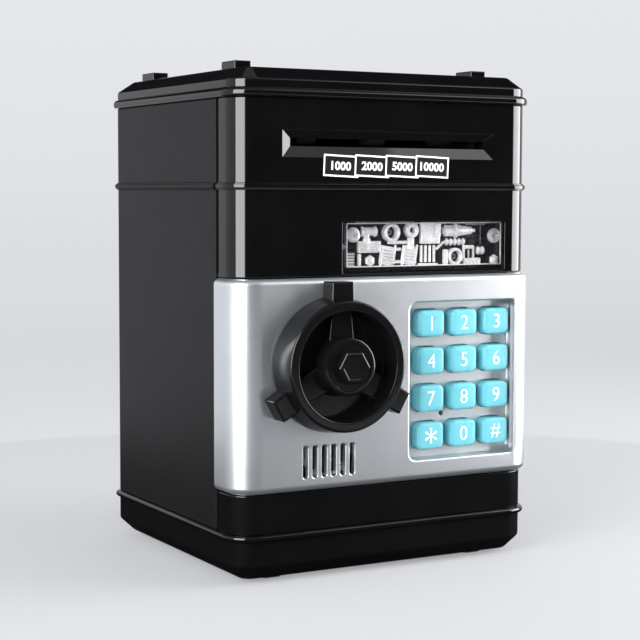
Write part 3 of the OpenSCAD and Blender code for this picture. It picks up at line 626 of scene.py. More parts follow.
@dataclass(frozen=True)
class BoxPlan:
    """A closed outline seen from above, with its own radius at the front and at the rear."""

    half_width: float
    front: float
    rear: float
    front_radius: float = 10.0
    rear_radius: float = 4.0
    steps: int = 12

    def outline(self, grow: Array) -> Array:
        """Plan points for each growth: quarter circles at the corners, whose radius never falls below 0.6.

        Args:
            grow: array (rows,) of outward growth.

        Returns:
            Array (rows, columns, 2), counter-clockwise seen from above.
        """
        grow = np.asarray(grow, float)[:, None, None]
        corner = np.array([[-1, -1], [1, -1], [1, 1], [-1, 1]])
        own = np.where(corner[:, 1] < 0, self.front_radius, self.rear_radius)[None, :, None]
        radius = np.maximum(own + grow, 0.6)
        half = self.half_width + grow
        edge = np.where(corner[:, 1][None, :, None] < 0, self.front - grow, self.rear + grow)
        centre = np.concatenate([corner[:, :1] * (half - radius), edge - corner[:, 1:] * radius], -1)
        sweep = np.linspace(0, np.pi / 2, self.steps + 1) + np.pi / 2 * (np.arange(4)[:, None] + 2)
        turn = np.stack([np.cos(sweep), np.sin(sweep)], -1)
        points = centre[:, :, None, :] + radius[..., None] * turn
        return points.reshape(len(grow), -1, 2)

    def wall(self, rows: Array) -> Array:
        """Surface for rows of (height, growth)."""
        plan = self.outline(rows[:, 1])
        height = np.broadcast_to(rows[:, 0][:, None, None], (*plan.shape[:2], 1))
        return np.concatenate([plan, height], -1)


def rounded_rows(bottom: float, top: float, radius: float, middle: list[tuple[float, float]] | None = None,
                 steps: int = 6) -> Array:
    """Profile of an upright wall with rounded bottom and top edges.

    Args:
        bottom: height of the lower edge.
        top: height of the upper edge.
        radius: radius of both roundings.
        middle: rows of (height, growth) between them.
        steps: segments in each rounding.

    Returns:
        Array (rows, 2) of height and growth.
    """
    edge = crown(radius, steps)
    lower = [(bottom - drop, grow) for grow, drop in edge[::-1]]
    upper = [(top + drop, grow) for grow, drop in edge]
    return np.array(lower + (middle or []) + upper)


# ---------------------------------------------------------------- case


@dataclass
class CaseShells:
    """The front and rear shells: upright walls split by a seam, with a rib round the upper case."""

    wall: float = 2.5
    front_radius: float = 10.0
    rear_radius: float = 4.0
    edge: float = 0.5
    rib_z: float = 145.0
    alcove: tuple[float, float] = (33.3, 112.0)
    rebate: float = 2.3
    slot_outer: Ring = Ring((-0.2, 160.4), (92.2, 9.8), 0.25)
    slit: Ring = Ring((-0.2, 160.85), (84.8, 2.9), 0.15)
    slit_depth: float = 1.3
    throat_depth: float = 8.0
    window: Ring = Ring((15.25, 122.45), (72.9, 19.1), 0.8)
    frame_y: tuple[float, float] = (-32.0, -30.0)
    opening: Ring = Ring((1.75, 73.0), (96.5, 66.0), 2.5)
    base_top: float = field(init=False)
    shell_top: float = field(init=False)

    def __post_init__(self) -> None:
        """Reads the shells' heights and outline from the frame."""
        low, high = node_box("rear_shell")
        self.base_top, self.shell_top = low[2], high[2]
        lid_low, lid_high = node_box("top_lid")
        bead = 1.7
        self.half_width = lid_high[0] - bead
        self.front, self.rear = lid_low[1] + bead, lid_high[1] - bead
        self.seam = low[1]
        self.front_plan = WrapPlan(self.half_width, self.front, self.front_radius, self.seam - self.rebate,
                                   self.seam - self.rebate, self.edge)
        self.rear_plan = WrapPlan(self.half_width, -self.rear, self.rear_radius, -self.seam - 0.08,
                                  -self.seam - 0.08, self.edge)

    def rib_rows(self) -> list[tuple[float, float]]:
        """Profile of the rib: two steps with softened edges, mirrored about its middle."""
        half = [(1.4, 0.0), (1.36, 0.42), (1.18, 0.66), (0.86, 0.72), (0.8, 1.0), (0.62, 1.24), (0.35, 1.3)]
        return [(self.rib_z - dz, g) for dz, g in half] + [(self.rib_z + dz, g) for dz, g in half[::-1]]

    def upper_front(self, skin: Skin) -> None:
        """Upper wall of the front shell, with the window and the bevelled note slot through its flat face."""
        rows = rounded_rows(self.alcove[1], self.shell_top, self.edge, self.rib_rows())
        inner = np.column_stack([rows[:, 0], np.full(len(rows), -self.wall)])
        window_row = int(np.argmax(rows[:, 0] > self.alcove[1] + self.edge + 1)) - 1
        slot_row = window_row + len(self.rib_rows())
        column = self.front_plan.flat_column()
        outer_wall, inner_wall = self.front_plan.wall(rows), self.front_plan.wall(inner)
        skin.sheet(outer_wall, inner_wall, ((window_row, column), (slot_row, column)))
        window = hole(self.window, self.wall, 0.25)
        throat = Ring(self.slot_outer.at, self.slot_outer.size, 0.25, -self.throat_depth, 1.5)
        slot = [self.slot_outer.moved(0, 0.12), self.slot_outer.moved(-0.04),
                self.slit.moved(-self.slit_depth), self.slit.moved(-self.throat_depth), throat,
                throat.moved(-self.wall)]
        for row, rings in ((window_row, window), (slot_row, slot)):
            corners = [(row, column), (row, column + 1), (row + 1, column + 1), (row + 1, column)]
            for wall, ring, depth in ((outer_wall, rings[0], 0.0), (inner_wall, rings[-1], -self.wall)):
                outline = np.array([wall[spot][[0, 2]] for spot in corners])
                skin.patch(Face.FRONT, self.front, outline, [ring.loop()], depth)
            skin.rings(Face.FRONT, self.front, rings)

    def door_frame(self, skin: Skin) -> None:
        """The wall that the door closes on, the ledges above and below it and the hinge bosses."""
        low, high = self.alcove
        outside = Ring((0, (low + high) / 2), (119, high - low + 2.7), 0.5)
        depth = self.frame_y[1] - self.frame_y[0]
        gate = hole(self.opening, depth, 0.5)
        skin.rings(Face.FRONT, self.frame_y[0], [outside.moved(-depth), outside])
        skin.rings(Face.FRONT, self.frame_y[0], gate)
        skin.patch(Face.FRONT, self.frame_y[0], outside.loop(), [gate[0].loop()])
        skin.patch(Face.FRONT, self.frame_y[0], outside.loop(), [gate[-1].loop()], -depth)
        ledge = WrapPlan(self.half_width - 0.6, self.front + 0.6, self.front_radius - 0.6, self.seam - 0.1,
                         self.seam - 0.1, 0.2)
        outline = ledge.path(np.zeros(1))[0]
        for bottom, top in ((low - 1.5, low), (high, high + 1.2)):
            skin.patch(Face.TOP, top, outline, [])
            skin.patch(Face.TOP, bottom, outline, [])
            flat = np.column_stack([outline, np.zeros(len(outline))])
            skin.grid(np.stack([flat + (0, 0, bottom), flat + (0, 0, top)]), closed=True)
        hinge = node_box("hinge_pins")
        middle = (hinge[0] + hinge[1]) / 2
        boss = 2.2
        for start in (low - 7, high + 1.2):
            skin.turned("Z", (middle[0] - 0.2, middle[1], start),
                        [(0, 1.05), (0, boss), (5.8, boss), (5.8, 1.05), (0, 1.05)])

    def build(self) -> None:
        """Builds both shells."""
        skin = Skin()
        self.upper_front(skin)
        lower = rounded_rows(self.base_top, self.alcove[0], self.edge)
        skin.sheet(self.front_plan.wall(lower),
                   self.front_plan.wall(np.column_stack([lower[:, 0], np.full(len(lower), -self.wall)])))
        self.door_frame(skin)
        for side in (-1, 1):
            tongue = Ring((side * (self.half_width - 1.75), self.seam - 2.1), (1.5, 4.0), 0.2)
            for bottom, top in ((self.base_top, self.alcove[0]), (self.alcove[1], self.shell_top)):
                skin.block(Face.TOP, bottom + 0.2, tongue, top - bottom - 0.4, 0.15)
        skin.finish("front_case", GLOSS_BLACK, "case", ("front_shell",), "gloss_black")

        skin = Skin()
        rows = rounded_rows(self.base_top, self.shell_top, self.edge, self.rib_rows())
        inner = np.column_stack([rows[:, 0], np.full(len(rows), -self.wall)])
        skin.sheet(self.rear_plan.mirrored(rows), self.rear_plan.mirrored(inner))
        for side in (-1, 1):
            for y in (-10, 57):
                skin.turned("Z", (side * 58.6, y, self.shell_top - 14),
                            [(0, 0), (0, 3), (13.9, 3), (13.9, 1.2), (5, 1.2), (5, 0)])
            skin.block(Face.TOP, 111, Ring((side * 60.8, -12.5), (3.4, 23), 0.3), 2, 0.2)
        skin.finish("rear_case", MATTE_BLACK, "case", ("rear_shell",), "matte_black")


@dataclass
class Lid:
    """The lid: a bead round its rim, a short wall, a wide chamfer, four studs and a coin slot."""

    wall: float = 2.5
    bead: float = 1.7
    chamfer: float = 6.0
    chamfer_z: float = 183.2
    stud_size: tuple[float, float] = (6.8, 11.3)
    coin: Ring = Ring((0, 23.6), (30, 3.2), 0.5)

    def build(self) -> None:
        """Builds the lid as one closed surface: inner wall up, over the rim's bead, and in over the top."""
        low, high = node_box("top_lid")
        plan = BoxPlan(high[0] - self.bead, low[1] + self.bead, high[1] - self.bead)
        rim, stud_top = low[2], high[2]
        top = stud_top - 3.2
        inner_top = top - self.wall
        bead = [(0.0, -self.wall), (0.0, 0.9), (0.15, 1.25), (0.5, 1.55), (1.0, self.bead), (2.0, self.bead),
                (2.55, 1.5), (2.95, 1.1), (3.2, 0.6), (3.3, 0.25), (3.5, 0.0)]
        slope = [(self.chamfer_z - 0.5, 0.0), (self.chamfer_z - 0.15, -0.06), (self.chamfer_z + 0.1, -0.25),
                 (self.chamfer_z + 0.4, -0.6), (top - 0.45, -self.chamfer + 0.4), (top - 0.18, -self.chamfer),
                 (top - 0.04, -self.chamfer - 0.45), (top, -self.chamfer - 0.9)]
        inside = [(inner_top, -self.chamfer - self.wall), (self.chamfer_z, -self.wall)]
        rows = np.array(inside + [(rim + dz, g) for dz, g in bead] + slope)
        skin = Skin()
        skin.grid(plan.wall(rows), closed=True)
        coin = hole(self.coin, self.wall, 0.4)
        coin_top = [ring.loop() for ring in coin]
        studs = [post(Ring((side * 52.2, y), self.stud_size, 0.5), stud_top - top, 0.45)
                 for side in (-1, 1) for y in (-22.55, 51.65)]
        skin.rings(Face.TOP, top, coin)
        outline = plan.outline(rows[:, 1])
        skin.patch(Face.TOP, top, outline[-1], [coin_top[0]] + [stud[0].loop() for stud in studs])
        skin.patch(Face.TOP, top, outline[0], [coin_top[-1]], inner_top - top)
        for stud in studs:
            skin.rings(Face.TOP, top, stud)
            skin.patch(Face.TOP, top, stud[-1].loop(), [], stud[-1].height)
        skin.finish("lid", GLOSS_BLACK, "case", ("top_lid",), "gloss_black")


@dataclass
class Base:
    """The base tray: a sloping skirt, a bead at its rim, four feet, screw wells and a battery hatch."""

    bead: float = 1.7
    skirt: float = 5.6
    skirt_z: float = 6.9
    floor: float = 2.2
    hatch: Ring = Ring((0, 27), (62, 47), 0.8)
    foot: tuple[float, float] = (7.5, 10.0)
    feet_at: tuple[tuple[float, float], ...] = ((45, -33), (45, 50))
    wells_at: tuple[tuple[float, float], ...] = ((53, -38), (52.5, 54.0))
    well_radius: float = 2.7
    well_depth: float = 8.9
    boss_height: float = 16.5
    pilot_grow: float = -1.2
    boss_grow: float = 0.9
    grips: int = 6

    def build(self) -> None:
        """Builds the tray and its battery cover."""
        low, high = node_box("base_tray")
        plan = BoxPlan(high[0] - self.bead, low[1] + self.bead, high[1] - self.bead)
        feet_z, rim = low[2], high[2]
        bottom = feet_z + 1.5
        skirt = [(bottom, -self.skirt - 0.8), (bottom + 0.08, -self.skirt - 0.1),
                 (bottom + 0.4, -self.skirt + 0.45), (self.skirt_z - 0.5, -0.55),
                 (self.skirt_z + 0.1, -0.12), (self.skirt_z + 0.7, 0.0)]
        bead = [(-2.7, 0.0), (-2.6, 0.35), (-2.45, 0.9), (-2.1, 1.4), (-1.7, 1.64), (-1.2, self.bead),
                (-0.75, 1.64), (-0.35, 1.4), (-0.1, 1.0), (0.0, 0.6), (0.0, -2.5)]
        inside = [(bottom + 4, -2.6), (bottom + self.floor, -6.5)]
        rows = np.array(skirt + [(rim + dz, g) for dz, g in bead] + inside)
        skin = Skin()
        skin.grid(plan.wall(rows), closed=True)
        outline = plan.outline(rows[:, 1])
        hatch = hole(self.hatch, self.floor, 0.2)
        feet = [post(Ring((side * x, y), self.foot, 1.2), bottom - feet_z, 0.35)
                for side in (-1, 1) for x, y in self.feet_at]
        wells = []
        for side, (x, y) in ((side, spot) for side in (-1, 1) for spot in self.wells_at):
            seat = Ring((side * x, y), (2 * self.well_radius, 2 * self.well_radius), self.well_radius)
            wells.append(hole(seat, self.well_depth, 0.3) + [
                seat.moved(-self.well_depth, self.pilot_grow), seat.moved(-self.boss_height, self.pilot_grow),
                seat.moved(-self.boss_height, self.boss_grow), seat.moved(-self.floor, self.boss_grow)])
        through = [hatch] + wells
        skin.patch(Face.BOTTOM, bottom, outline[0], [shape[0].loop() for shape in through + feet])
        skin.patch(Face.BOTTOM, bottom, outline[-1], [shape[-1].loop() for shape in through], -self.floor)
        for shape in through + feet:
            skin.rings(Face.BOTTOM, bottom, shape)
        for foot in feet:
            skin.patch(Face.BOTTOM, bottom, foot[-1].loop(), [], foot[-1].height)
        skin.finish("base", GLOSS_BLACK, "case", ("base_tray",), "gloss_black")

        skin = Skin()
        cover_low, cover_high = node_box("battery_cover")
        size = cover_high - cover_low
        middle = (cover_low + cover_high) / 2
        lid = Ring((middle[0], middle[1]), (size[0], size[1]), 0.8)
        screw = hole(Ring((26.5, middle[1]), (2.6, 2.6), 1.3), 1.8, 0.25)
        grips = [post(Ring((-29.7 + 2 * i, middle[1]), (1.0, 14.0), 0.45), 0.45, 0.2)
                 for i in range(self.grips)]
        rim_rings = [lid.moved(-1.8)] + [lid.moved(drop, grow) for grow, drop in crown(0.3)]
        skin.rings(Face.BOTTOM, bottom, rim_rings)
        for shape in [screw] + grips:
            skin.rings(Face.BOTTOM, bottom, shape)
        skin.patch(Face.BOTTOM, bottom, rim_rings[-1].loop(), [shape[0].loop() for shape in [screw] + grips])
        skin.patch(Face.BOTTOM, bottom, lid.loop(), [screw[-1].loop()], -1.8)
        for grip in grips:
            skin.patch(Face.BOTTOM, bottom, grip[-1].loop(), [], grip[-1].height)
        skin.finish("battery_hatch", MATTE_BLACK, "case", ("battery_cover",), "matte_black")


# ---------------------------------------------------------------- window


@dataclass
class Window:
    """The clear lens and the plated mechanism relief behind it, held by two cross-head screws."""

    plate_z: tuple[float, float] = (113.4, 134.5)
    plate_x: tuple[float, float] = (-22.5, 57.0)
    shift: float = 1.5

    def __post_init__(self) -> None:
        """Finds the plate's face in the frame."""
        self.plate_y = node_box("plate_screws")[0][1] + 1.6

    def lens(self) -> None:
        """A flat clear pane with a flange behind the opening's edge."""
        low, high = node_box("window_lens")
        opening = CaseShells.window
        pane = Ring(opening.at, opening.size, opening.radius, 0.0, -0.1)
        flange = Ring(((low[0] + high[0]) / 2, (low[2] + high[2]) / 2),
                      (high[0] - low[0], high[2] - low[2]), 1.0)
        skin = Skin()
        front = low[1]
        step = high[1] - front - 1.0
        rings = [flange.moved(-step - 1.0), flange.moved(-step), pane.moved(-step)] + [
            pane.moved(drop, grow) for grow, drop in crown(0.25)]
        skin.rings(Face.FRONT, front, rings)
        skin.patch(Face.FRONT, front, rings[0].loop(), [], rings[0].height)
        skin.patch(Face.FRONT, front, rings[-1].loop(), [])
        skin.finish("window_pane", CLEAR, "case", ("window_lens",), "clear_window")

    def ring_lens(self, skin: Skin, x: float, z: float, height: float, outer: float, inner: float) -> None:
        """A round socket: a rounded rim round a dished well with a bead at its bottom."""
        profile = [(0, 0), (-0.5, inner * 0.35), (-0.3, inner * 0.6), (-0.25, inner),
                   (-height + 0.3, inner + 0.1), (-height, inner + 0.4), (-height, outer - 0.4),
                   (-height + 0.35, outer), (0, outer)]
        skin.turned("Y", (x, self.plate_y, z), profile)

    def louvre(self, skin: Skin, x: float, z: float, size: tuple[float, float], fins: int,
               tilt: float) -> None:
        """A grooved panel: a frame with fins standing in it."""
        frame_ring = Ring((x, z), size, 0.4, 0.0, 0.0, tilt)
        skin.block(Face.FRONT, self.plate_y, frame_ring, 0.9, 0.2)
        turn = np.array([math.sin(tilt), math.cos(tilt)])
        for i in range(fins):
            shift = (i + 0.5) / fins * (size[1] - 1.0) - (size[1] - 1.0) / 2
            at = (x + turn[0] * shift, z + turn[1] * shift)
            fin = Ring(at, (size[0] - 1.6, 0.55 * (size[1] - 1.0) / fins), 0.15, 0.85, 0.0, tilt)
            skin.block(Face.FRONT, self.plate_y, fin, 0.9, 0.12)
        for side in (-1, 1):
            rail = Ring((x + side * (size[0] / 2 - 0.4) * turn[1], z - side * (size[0] / 2 - 0.4) * turn[0]),
                        (0.7, size[1]), 0.2, 0.85, 0.0, tilt)
            skin.block(Face.FRONT, self.plate_y, rail, 0.8, 0.15)

    def relief(self) -> None:
        """Plate with pipes, sockets, louvres, coils, bolts and blocks, each its own closed shape."""
        skin, y = Skin(), self.plate_y
        low, high = self.plate_x[0], self.plate_x[1]
        shaded_ground = Ring(((low + high) / 2, sum(self.plate_z) / 2), (high - low,
                                                                  self.plate_z[1] - self.plate_z[0]), 0.5,
                      -1.4)
        skin.block(Face.FRONT, y, shaded_ground, 1.4, 0.1)
        first = len(skin.points)
        self.ring_lens(skin, 1.6, 127.8, 3.2, 3.5, 2.2)
        self.ring_lens(skin, 10.8, 128.6, 2.8, 2.9, 1.1)
        self.ring_lens(skin, 30.8, 118.3, 2.6, 3.3, 2.1)
        skin.block(Face.FRONT, y, Ring((26.6, 118.0), (1.7, 6.2), 0.7), 2.2, 0.5)
        skin.block(Face.FRONT, y, Ring((10.8, 123.4), (2.6, 4.8), 0.5), 1.9, 0.4)
        skin.block(Face.FRONT, y, Ring((5.2, 124.0), (9.0, 1.3), 0.5), 1.1, 0.4)
        skin.rod("Z", (-8.4, y, 120.9), 7.4, 1.4)
        skin.rod("X", (-10.8, y, 128.2), 6.4, 1.7)
        skin.rod("X", (-10.9, y, 128.2), 0.9, 2.0)
        skin.rod("X", (-5.3, y, 128.2), 1.0, 2.1)
        skin.rod("Z", (-8.4, y, 124.6), 1.0, 1.8)
        self.louvre(skin, -7.6, 122.4, (10.0, 4.4), 4, 0.0)
        self.louvre(skin, 0.6, 119.0, (6.6, 7.2), 5, math.radians(-9))
        self.louvre(skin, 10.3, 119.0, (6.6, 7.2), 5, math.radians(-9))
        for z in (116.6, 121.4):
            skin.rod("X", (4, y, z), 3.0, 0.8)
        for i in range(5):
            skin.rod("X", (-18, y, 115.6 + i * 1.05), 4.4, 0.62)
        skin.block(Face.FRONT, y, Ring((-11.8, 117.6), (1.3, 4.6), 0.4), 1.4, 0.3)
        self.bolt(skin, -7.2, 117.2, 2.1)
        self.bolt(skin, 49.6, 116.7, 2.0)
        self.bolt(skin, -18.6, 122.6, 1.2)
        skin.block(Face.FRONT, y, Ring((19.4, 127.4), (8.6, 8.2), 0.7), 2.3, 0.5)
        skin.block(Face.FRONT, y, Ring((22.4, 128.6), (2.2, 5.2), 0.5, 2.2), 0.8, 0.3)
        skin.block(Face.FRONT, y, Ring((17.8, 124.6), (3.6, 1.0), 0.3, 2.2), 0.5, 0.25)
        for i in range(4):
            skin.rod("Z", (16.0 + i * 1.95, y, 116.2), 6.6, 0.78)
        skin.block(Face.FRONT, y, Ring((19.0, 115.4), (9.0, 0.9), 0.3), 1.0, 0.2)
        skin.turned("X", (25.4, y, 128.2),
                    [(0, 0), (0, 1.3), (0.8, 1.7), (0.9, 2.3), (5.4, 2.3), (5.5, 2.9), (6.5, 2.9), (6.6, 2.1),
                     (7.6, 2.2), (13.6, 1.5), (13.8, 0.9), (15.4, 0.8), (15.4, 0)])
        skin.turned("X", (26.4, y, 123.9), self.ribbed(9.6, 0.95, 1.45, 5))
        skin.block(Face.FRONT, y, Ring((24.2, 122.6), (1.0, 4.6), 0.4, 0.0, 0.0, math.radians(-50)), 1.4, 0.3)
        skin.rod("Z", (35.6, y, 116.2), 5.6, 0.8)
        skin.rod("X", (35.0, y, 121.8), 5.4, 0.9)
        skin.rod("Z", (40.2, y, 117.4), 4.6, 0.7)
        skin.rod("Z", (38.0, y, 117.4), 3.4, 0.6)
        skin.block(Face.FRONT, y, Ring((39.2, 116.2), (7.8, 2.7), 0.5), 1.5, 0.35)
        for i in range(4):
            skin.block(Face.FRONT, y, Ring((36.4 + i * 1.85, 116.2), (0.8, 2.2), 0.3, 1.4, 0.0, 0.5), 0.6,
                       0.2)
        skin.turned("X", (41.4, y, 120.4), self.ribbed(3.6, 1.35, 1.7, 2))
        skin.rod("X", (36.5, y, 130.6), 9.5, 0.45)
        skin.rod("Z", (43.6, y, 122.6), 8.0, 0.4)
        skin.block(Face.FRONT, y, Ring((-0.4, 131.9), (26.0, 0.7), 0.3), 0.7, 0.2)
        for z in (115.1, 131.3):
            skin.block(Face.FRONT, y, Ring((17.4, z), (71.0, 0.45), 0.2), 2.6, 0.15)
        for x in (-18.1, 52.9):
            skin.block(Face.FRONT, y, Ring((x, 123.2), (0.45, 16.6), 0.2), 2.6, 0.15)
        skin.points[first:] = [points + (self.shift, 0, 0) for points in skin.points[first:]]
        skin.finish("mechanism_relief", RELIEF, "case", ("mechanism_plate",), "silver_relief")

    @staticmethod
    def ribbed(length: float, low: float, high: float, ribs: int) -> list[tuple[float, float]]:
        """Profile of a ringed pipe: a plain bore with evenly spaced raised bands."""
        profile = [(0.0, 0.0), (0.0, low)]
        for i in range(ribs):
            start = (i + 0.3) * length / ribs
            end = start + 0.5 * length / ribs
            profile += [(start, low), (start + 0.05, high), (end - 0.05, high), (end, low)]
        return profile + [(length, low), (length, 0.0)]

    def bolt(self, skin: Skin, x: float, z: float, radius: float) -> None:
        """A hexagon nut with a domed stud in it."""
        skin.turned("Y", (x, self.plate_y, z), [(0, radius), (-1.4, radius), (-1.7, radius - 0.35),
                                                (-1.7, 0)], 6)
        skin.turned("Y", (x, self.plate_y, z), [(0, 0.5 * radius), (-2.1, 0.5 * radius),
                                                (-2.4, 0.25 * radius), (-2.45, 0)], 16)

    def screws(self) -> None:
        """Two pan-head screws with a cross recess: a domed head, and four short walls round the cross."""
        skin = Skin()
        low, high = node_box("plate_screws")
        head, shank = 2.9, 1.15
        arm = 0.42
        for x, z in ((low[0] + head, 127.0), (high[0] - head, 126.1)):
            y = self.plate_y
            dome = [(3.9, 0), (3.9, shank), (-0.05, shank), (-0.05, head), (-0.6, head), (-1.0, head * 0.94),
                    (-1.3, head * 0.78), (-1.45, head * 0.6)]
            skin.turned("Y", (x, y, z), dome, 36)
            angle = np.linspace(0, 2 * np.pi, 36, endpoint=False)
            rim = np.column_stack([x + head * 0.6 * np.sin(angle), z + head * 0.6 * np.cos(angle)])
            long = head * 0.45
            cross = np.array([(arm, arm), (arm, long), (-arm, long), (-arm, arm), (-long, arm),
                              (-long, -arm), (-arm, -arm), (-arm, -long), (arm, -long), (arm, -arm),
                              (long, -arm), (long, arm)])
            turn = math.radians(20)
            spin = np.array([[math.cos(turn), math.sin(turn)], [-math.sin(turn), math.cos(turn)]])
            cross = cross @ spin + np.array([x, z])
            skin.patch(Face.FRONT, y, rim, [cross], 1.45)
            skin.patch(Face.FRONT, y, cross, [], 0.7)
            flat = np.column_stack([cross, np.zeros(len(cross))])
            skin.grid(Face.FRONT.place(np.stack([flat + (0, 0, 1.45), flat + (0, 0, 0.7)]), y), closed=True)
        skin.finish("window_screws", NICKEL, "case", ("plate_screws",), "steel")

    def build(self) -> None:
        """Builds the lens, the relief and the screws."""
        self.lens()
        self.relief()
        self.screws()


@dataclass
class NoteTags:
    """Four overlapping value tags under the note slot: a white border, a black field and white figures."""

    values: tuple[str, ...] = ("1000", "2000", "5000", "10000")
    size: tuple[float, float] = (14.9, 8.0)
    border: float = 0.62
    pitch: float = 13.2
    tilt: float = math.radians(2.5)
    figure: float = 3.0

    def build(self) -> None:
        """Lays the tags one over the next, each a hair further out."""
        low, high = node_box("note_tags")
        face = high[1]
        start = (low[0] + high[0]) / 2 - 1.5 * self.pitch
        z = (low[2] + high[2]) / 2
        for i, value in enumerate(self.values):
            at = (start + i * self.pitch, z)
            out = 0.012 + 0.03 * i
            plate = Ring(at, self.size, 0.15, 0.0, 0.0, -self.tilt)
            skin = Skin()
            skin.block(Face.FRONT, face, plate, out, 0.004)
            skin.finish(f"tag_border_{value}", TAG_WHITE, "case", ("note_tags",), "white_print")
            skin = Skin()
            field_ring = Ring(at, self.size, 0.1, out - 0.002, -self.border, -self.tilt)
            skin.block(Face.FRONT, face, field_ring, 0.01, 0.003)
            skin.finish(f"tag_field_{value}", TAG_BLACK, "case", (), "matte_black")
            points, faces = lettering(value, value, self.figure, 0.012, 1.06, 0.13)
            turn = np.array([[math.cos(self.tilt), -math.sin(self.tilt)],
                             [math.sin(self.tilt), math.cos(self.tilt)]])
            points[:, :2] = points[:, :2] @ turn + np.array(at)
            points[:, 2] += out + 0.006
            mesh = bpy.data.meshes.new(f"tag_figures_{value}")
            mesh.from_pydata((Face.FRONT.place(points, face) * MM).tolist(), [], faces)
            Skin.dress(mesh, f"tag_figures_{value}", TAG_WHITE, "case", (), "white_print")


# ---------------------------------------------------------------- door


@dataclass
class Door:
    """The silver safe door: wings round both corners, a keypad recess, a speaker grille and a knob hole."""

    skin_thickness: float = 2.6
    corner: float = 10.5
    edge: float = 2.4
    recess: Ring = Ring((31.75, 71.4), (48.9, 60.0), 3.0)
    recess_depth: float = 6.3
    recess_wall: float = 1.6
    floor_depth: float = 7.8
    key_size: tuple[float, float] = (11.7, 10.2)
    key_gap: float = 0.35
    lamp: tuple[float, float] = (25.4, 57.82)
    grille_slot: tuple[float, float] = (2.2, 12.0)
    grille_x: float = -37.6
    grille_pitch: float = 3.95
    grille_z: float = 44.3
    knob_hole: float = 5.5
    knuckle: float = 2.9
    cover_y: float = -33.4

    def __post_init__(self) -> None:
        """Reads the door's outer faces and the key places from the frame."""
        low, high = node_box("door_panel")
        self.face, self.bottom, self.top = low[1], low[2], high[2]
        self.half_width = (high[0] - low[0]) / 2
        self.rear = high[1]
        self.hinge = (self.half_width - self.knuckle, self.rear - self.knuckle)
        knob_low, knob_high = node_box("knob_spindle")
        self.knob_at = ((knob_low[0] + knob_high[0]) / 2, (knob_low[2] + knob_high[2]) / 2)
        self.plan = WrapPlan(self.half_width, self.face, self.corner, self.rear, self.hinge[1], 0.8, 16)

    def key_places(self) -> dict[str, tuple[float, float]]:
        """Middle of each key, from the frame's own key nodes."""
        names = [name for name in frame["nodes"] if name.startswith("key_") and name != "key_dome_mat"]
        boxes = {name: node_box(name) for name in names}
        return {name: ((low[0] + high[0]) / 2, (low[2] + high[2]) / 2) for name, (low, high) in boxes.items()}

    def keypad_floor(self, skin: Skin) -> None:
        """The keypad recess: rounded lip, wall, and a floor with a hole for each key and the lamp."""
        wall = [self.recess.moved(drop, grow) for grow, drop in lip(0.8, 6)]
        rings = wall + [self.recess.moved(-self.recess_depth + 0.5)] + [
            self.recess.moved(-self.recess_depth + 0.5 * (1 - math.sin(a)), -0.5 * (1 - math.cos(a)))
            for a in np.linspace(0, math.pi / 2, 5)[1:]]
        skin.rings(Face.FRONT, self.face, rings)
        back = self.recess.moved(-self.floor_depth, self.recess_wall)
        holes = []
        for x, z in self.key_places().values():
            seat = Ring((x, z), self.key_size, 3.0, -self.recess_depth, self.key_gap)
            holes.append(hole(seat, self.floor_depth - self.recess_depth, 0.15))
        lamp = Ring(self.lamp, (1.9, 1.9), 0.95, -self.recess_depth)
        holes.append(hole(lamp, self.floor_depth - self.recess_depth, 0.2))
        skin.patch(Face.FRONT, self.face, rings[-1].loop(), [shape[0].loop() for shape in holes],
                   -self.recess_depth)
        skin.patch(Face.FRONT, self.face, back.loop(), [shape[-1].loop() for shape in holes],
                   -self.floor_depth)
        for shape in holes:
            skin.rings(Face.FRONT, self.face, shape)
        skin.rings(Face.FRONT, self.face, [back, back.moved(-self.skin_thickness)])

    def build(self) -> None:
        """Builds the door as one closed skin with its end walls and hinge knuckle."""
        skin = Skin()
        rows = rounded_rows(self.bottom, self.top, self.edge, steps=8)
        inner_rows = np.column_stack([rows[:, 0], np.full(len(rows), -self.skin_thickness)])
        outer, inner = self.plan.wall(rows), self.plan.wall(inner_rows)
        row, column = len(rows) // 2 - 1, self.plan.flat_column()
        skin.sheet(outer, inner, ((row, column),))
        grille = [hole(Ring((self.grille_x + i * self.grille_pitch, self.grille_z), self.grille_slot, 1.0),
                       self.skin_thickness, 0.35) for i in range(6)]
        bore = hole(Ring(self.knob_at, (2 * self.knob_hole, 2 * self.knob_hole), self.knob_hole),
                    self.skin_thickness, 0.3)
        through = grille + [bore]
        for shape in through:
            skin.rings(Face.FRONT, self.face, shape)
        self.keypad_floor(skin)
        mouth = self.recess.moved(0, 0.8).loop()
        back = self.recess.moved(0, self.recess_wall).loop()
        corners = [(row, column), (row, column + 1), (row + 1, column + 1), (row + 1, column)]
        for wall, extra, end, depth in ((outer, mouth, 0, 0.0), (inner, back, -1, -self.skin_thickness)):
            outline = np.array([wall[spot][[0, 2]] for spot in corners])
            gaps = [extra] + [shape[end].loop() for shape in through]
            skin.patch(Face.FRONT, self.face, outline, gaps, depth)
        self.end_walls(skin)
        hx, hy = self.hinge
        bore_r = 1.05
        bore_depth = 4.0
        length = self.top - self.bottom
        skin.turned("Z", (hx, hy, self.bottom),
                    [(bore_depth, 0), (bore_depth, bore_r), (0, bore_r), (0, self.knuckle - 0.4),
                     (0.4, self.knuckle), (length - 0.4, self.knuckle), (length, self.knuckle - 0.4),
                     (length, bore_r), (length - bore_depth, bore_r), (length - bore_depth, 0)], 48)
        for x, z in ((-56, 105), (-56, 41), (0.5, 105.6), (0.5, 40)):
            skin.turned("Y", (x, -47.4, z), [(0, 0), (0, 2.6), (12.1, 2.6), (12.1, 1.0), (4.0, 1.0),
                                             (4.0, 0)], 24)
        skin.finish("door_skin", SILVER_PAINT, "door", ("door_panel",), "silver_paint")

